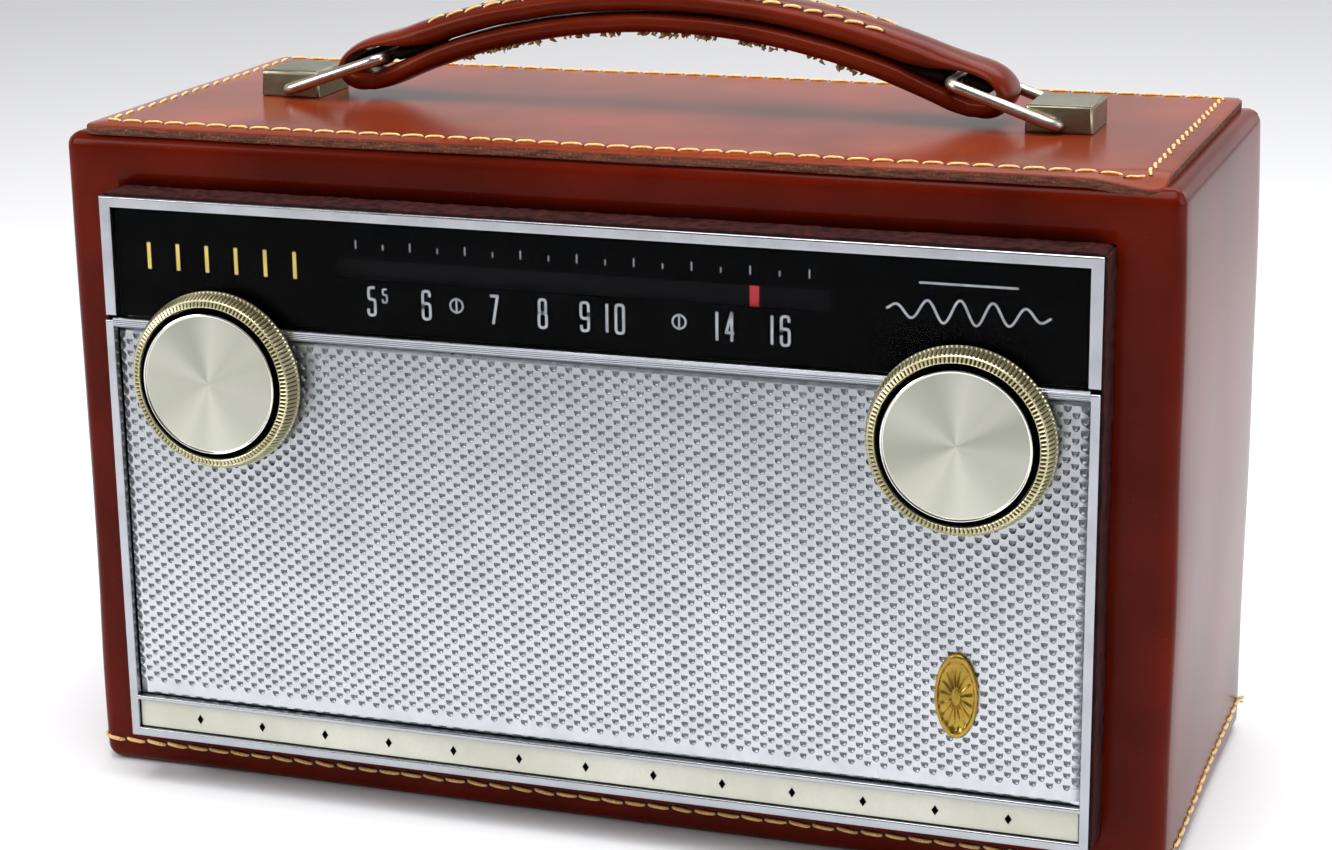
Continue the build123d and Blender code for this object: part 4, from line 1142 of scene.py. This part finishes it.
def add_plate_marks():
    """Small evenly spaced lozenges printed on the enamelled strip."""
    marks = Mesh()
    y = plate_low.y - 0.06 * mm
    z = (plate_low.z + plate_high.z) / 2
    for k in range(13):
        x = (-97 + 16.2 * k) * mm
        marks.add(*loft([[(x + 0.8 * mm * u, y + depth, z + 1.2 * mm * v)
                          for u, v in ((1, 0), (0, 1), (-1, 0), (0, -1))] for depth in (0, 0.04 * mm)]))
    marks.piece("strip_marks", [black_enamel], "dial_black", crease=20)


def add_badge():
    """Oval medallion with a raised rim and fluted rays, in place of any mark."""
    middle, half = (badge_low + badge_high) / 2, (badge_high - badge_low) / 2
    back, face = grille_low.y + 0.2 * mm, badge_low.y
    rings = []
    for share, height, rays in ((1.0, 0.0, 0), (1.0, 0.7, 0), (0.96, 1.0, 0), (0.86, 1.0, 0),
                                (0.8, 0.55, 0), (0.7, 0.5, 0.12), (0.45, 0.62, 0.14),
                                (0.22, 0.75, 0.1), (0.2, 0.95, 0), (0.1, 1.05, 0), (0.02, 1.08, 0)):
        rings.append([(middle.x + half.x * share * cos(a),
                       back + (face - back) * (height + rays * cos(16 * a)),
                       middle.z + half.z * share * sin(a)) for a in around(96)])
    make_piece("oval_medallion", *loft(rings), [badge_gilt], "badge_gold", replaces=["badge"],
               crease=50)


def add_crossbar_trim():
    """Fine lines rolled along the bar between the dial and the grille."""
    low_z, high_z = 112.1 * mm, 114.35 * mm
    back = lower_low.y + 0.4 * mm
    half = panel_half - 2.1 * mm
    profile = [(0.25, 0.0), (0.0, 0.12)]
    for k in range(4):
        z = 0.35 + k * 0.42
        profile += [(0.02, z - 0.1), (-0.14, z), (0.02, z + 0.1)]
    profile += [(0.0, 2.1), (0.25, 2.25)]
    ring = [(lower_low.y + (v - 0.15) * mm, low_z + z * mm) for v, z in profile]
    ring += [(back, high_z), (back, low_z)]
    make_piece("crossbar_trim", *loft([[(x, y, z) for y, z in ring] for x in (-half, half)]),
               [satin_chrome], "bezel_chrome", crease=25)


# ------------------------------------------------ knobs
def add_knob(side, label):
    """Ribbed gilt ring, black dish, bright rim and spun disc."""
    x, z = side * knob_x, knob_z
    face = skirt_low.y
    outer, cap = (skirt_high.x - skirt_low.x) / 2, (cap_high.x - cap_low.x) / 2
    ribs, per_rib = 126, 6
    segments = ribs * per_rib

    def rows(start, *shape):
        """Profile from rows of radius past start, depth behind the face and ripple, in mm."""
        return [(start + radius * mm, face + depth * mm, *in_mm(ripple)[0])
                for radius, depth, *ripple in shape]

    rear = (lower_low.y - face) / mm - 0.45
    profile = rows(0, (4, 2.2), (17.4, 2.2), (17.6, 0.75), (17.75, 0.5), (17.9, 0.42, 0.05),
                   (18.0, 0.5, 0.22), (18.5, 0.7, 0.24), (18.95, 0.9, 0.22), (19.05, 0.82),
                   (19.2, 0.78), (19.35, 0.92), (19.45, 1.2, 0.16), (20.1, 3.0, 0.2))
    profile += rows(outer, (-0.2, 4.2, 0.18), (0, 4.5), (0, 5.1), (-0.6, rear)) + rows(0, (4, rear))
    points, faces = turned(x, z, profile, segments, ribs)
    # Faces in each rib's groove take the darker gold, as painted shade in the grooves.
    tones = [0] * len(faces)
    for row in range(len(profile) - 1):
        if len(profile[row]) > 2 and len(profile[row + 1]) > 2:
            for i in range(segments):
                if i % per_rib in (2, 3):
                    tones[row * segments + i] = 1
    make_piece(f"{label}_knob_ring", points, faces, [gilt, gilt_groove_shade], "knob_gold", body=label,
               replaces=[f"{label}_knob_skirt"], tones=tones, crease=30)
    dish = rows(0, (4, 2.55), (17.35, 2.55), (17.35, 1.0), (17.0, 0.95), (16.75, 1.35), (4, 1.35))
    make_piece(f"{label}_knob_dish", *turned(x, z, dish, 128), [black_enamel], "knob_black",
               body=label, replaces=[f"{label}_knob_insert"], crease=40)
    rim = rows(0, (4, 1.45)) + rows(cap, (0, 1.45), (0, 0.3), (-0.08, 0.1), (-0.25, 0.02),
                                    (-0.42, 0.1), (-0.5, 0.4), (-0.9, 0.42))
    make_piece(f"{label}_knob_rim", *turned(x, z, rim, 160), [bright_rim], "knob_spun", body=label,
               crease=40)
    edge = cap - 0.7 * mm
    dome = [(edge, face + 0.8 * mm)]
    dome += [(edge - r, face + (0.33 - 0.16 * (r / cap) ** 0.7) * mm)
             for r in np.linspace(0, cap - 0.75 * mm, 20)]
    make_piece(f"{label}_knob_disc", *turned(0, 0, dome, 160), [spun], "knob_spun", body=label,
               replaces=[f"{label}_knob_cap"], crease=40, at=(x, 0, z))


# ------------------------------------------------ CAD nodes that stay
def finish_cad_nodes():
    """Every CAD node takes the finish of its material slot."""
    for part in frame["record"]["subparts"]:
        node = frame["nodes"][part["node"]]
        node.data.materials.clear()
        node.data.materials.append(slot_finishes[part["material_slot"]].material)


def soften_edges(names, width):
    """Rounds the CAD edges that catch the light."""
    for name in names:
        frame["nodes"][name].modifiers.new("weld", "WELD")
        bevel = frame["nodes"][name].modifiers.new("soft_edges", "BEVEL")
        bevel.width = width
        bevel.segments = 3
        bevel.limit_method = "ANGLE"
        bevel.angle_limit = radians(40)


# ------------------------------------------------ build
add_camera()
add_surroundings()
add_floor()
finish_cad_nodes()
soften_edges(["handle_bracket_left", "handle_bracket_right"], 0.7 * mm)
add_case()
add_lid()
add_seams()
add_loose_end()
add_back_cover()
add_handle()
add_rings()
add_collar()
add_grille()
add_dial()
add_plate_marks()
add_badge()
add_crossbar_trim()
add_knob(1, "tuning")
add_knob(-1, "volume")
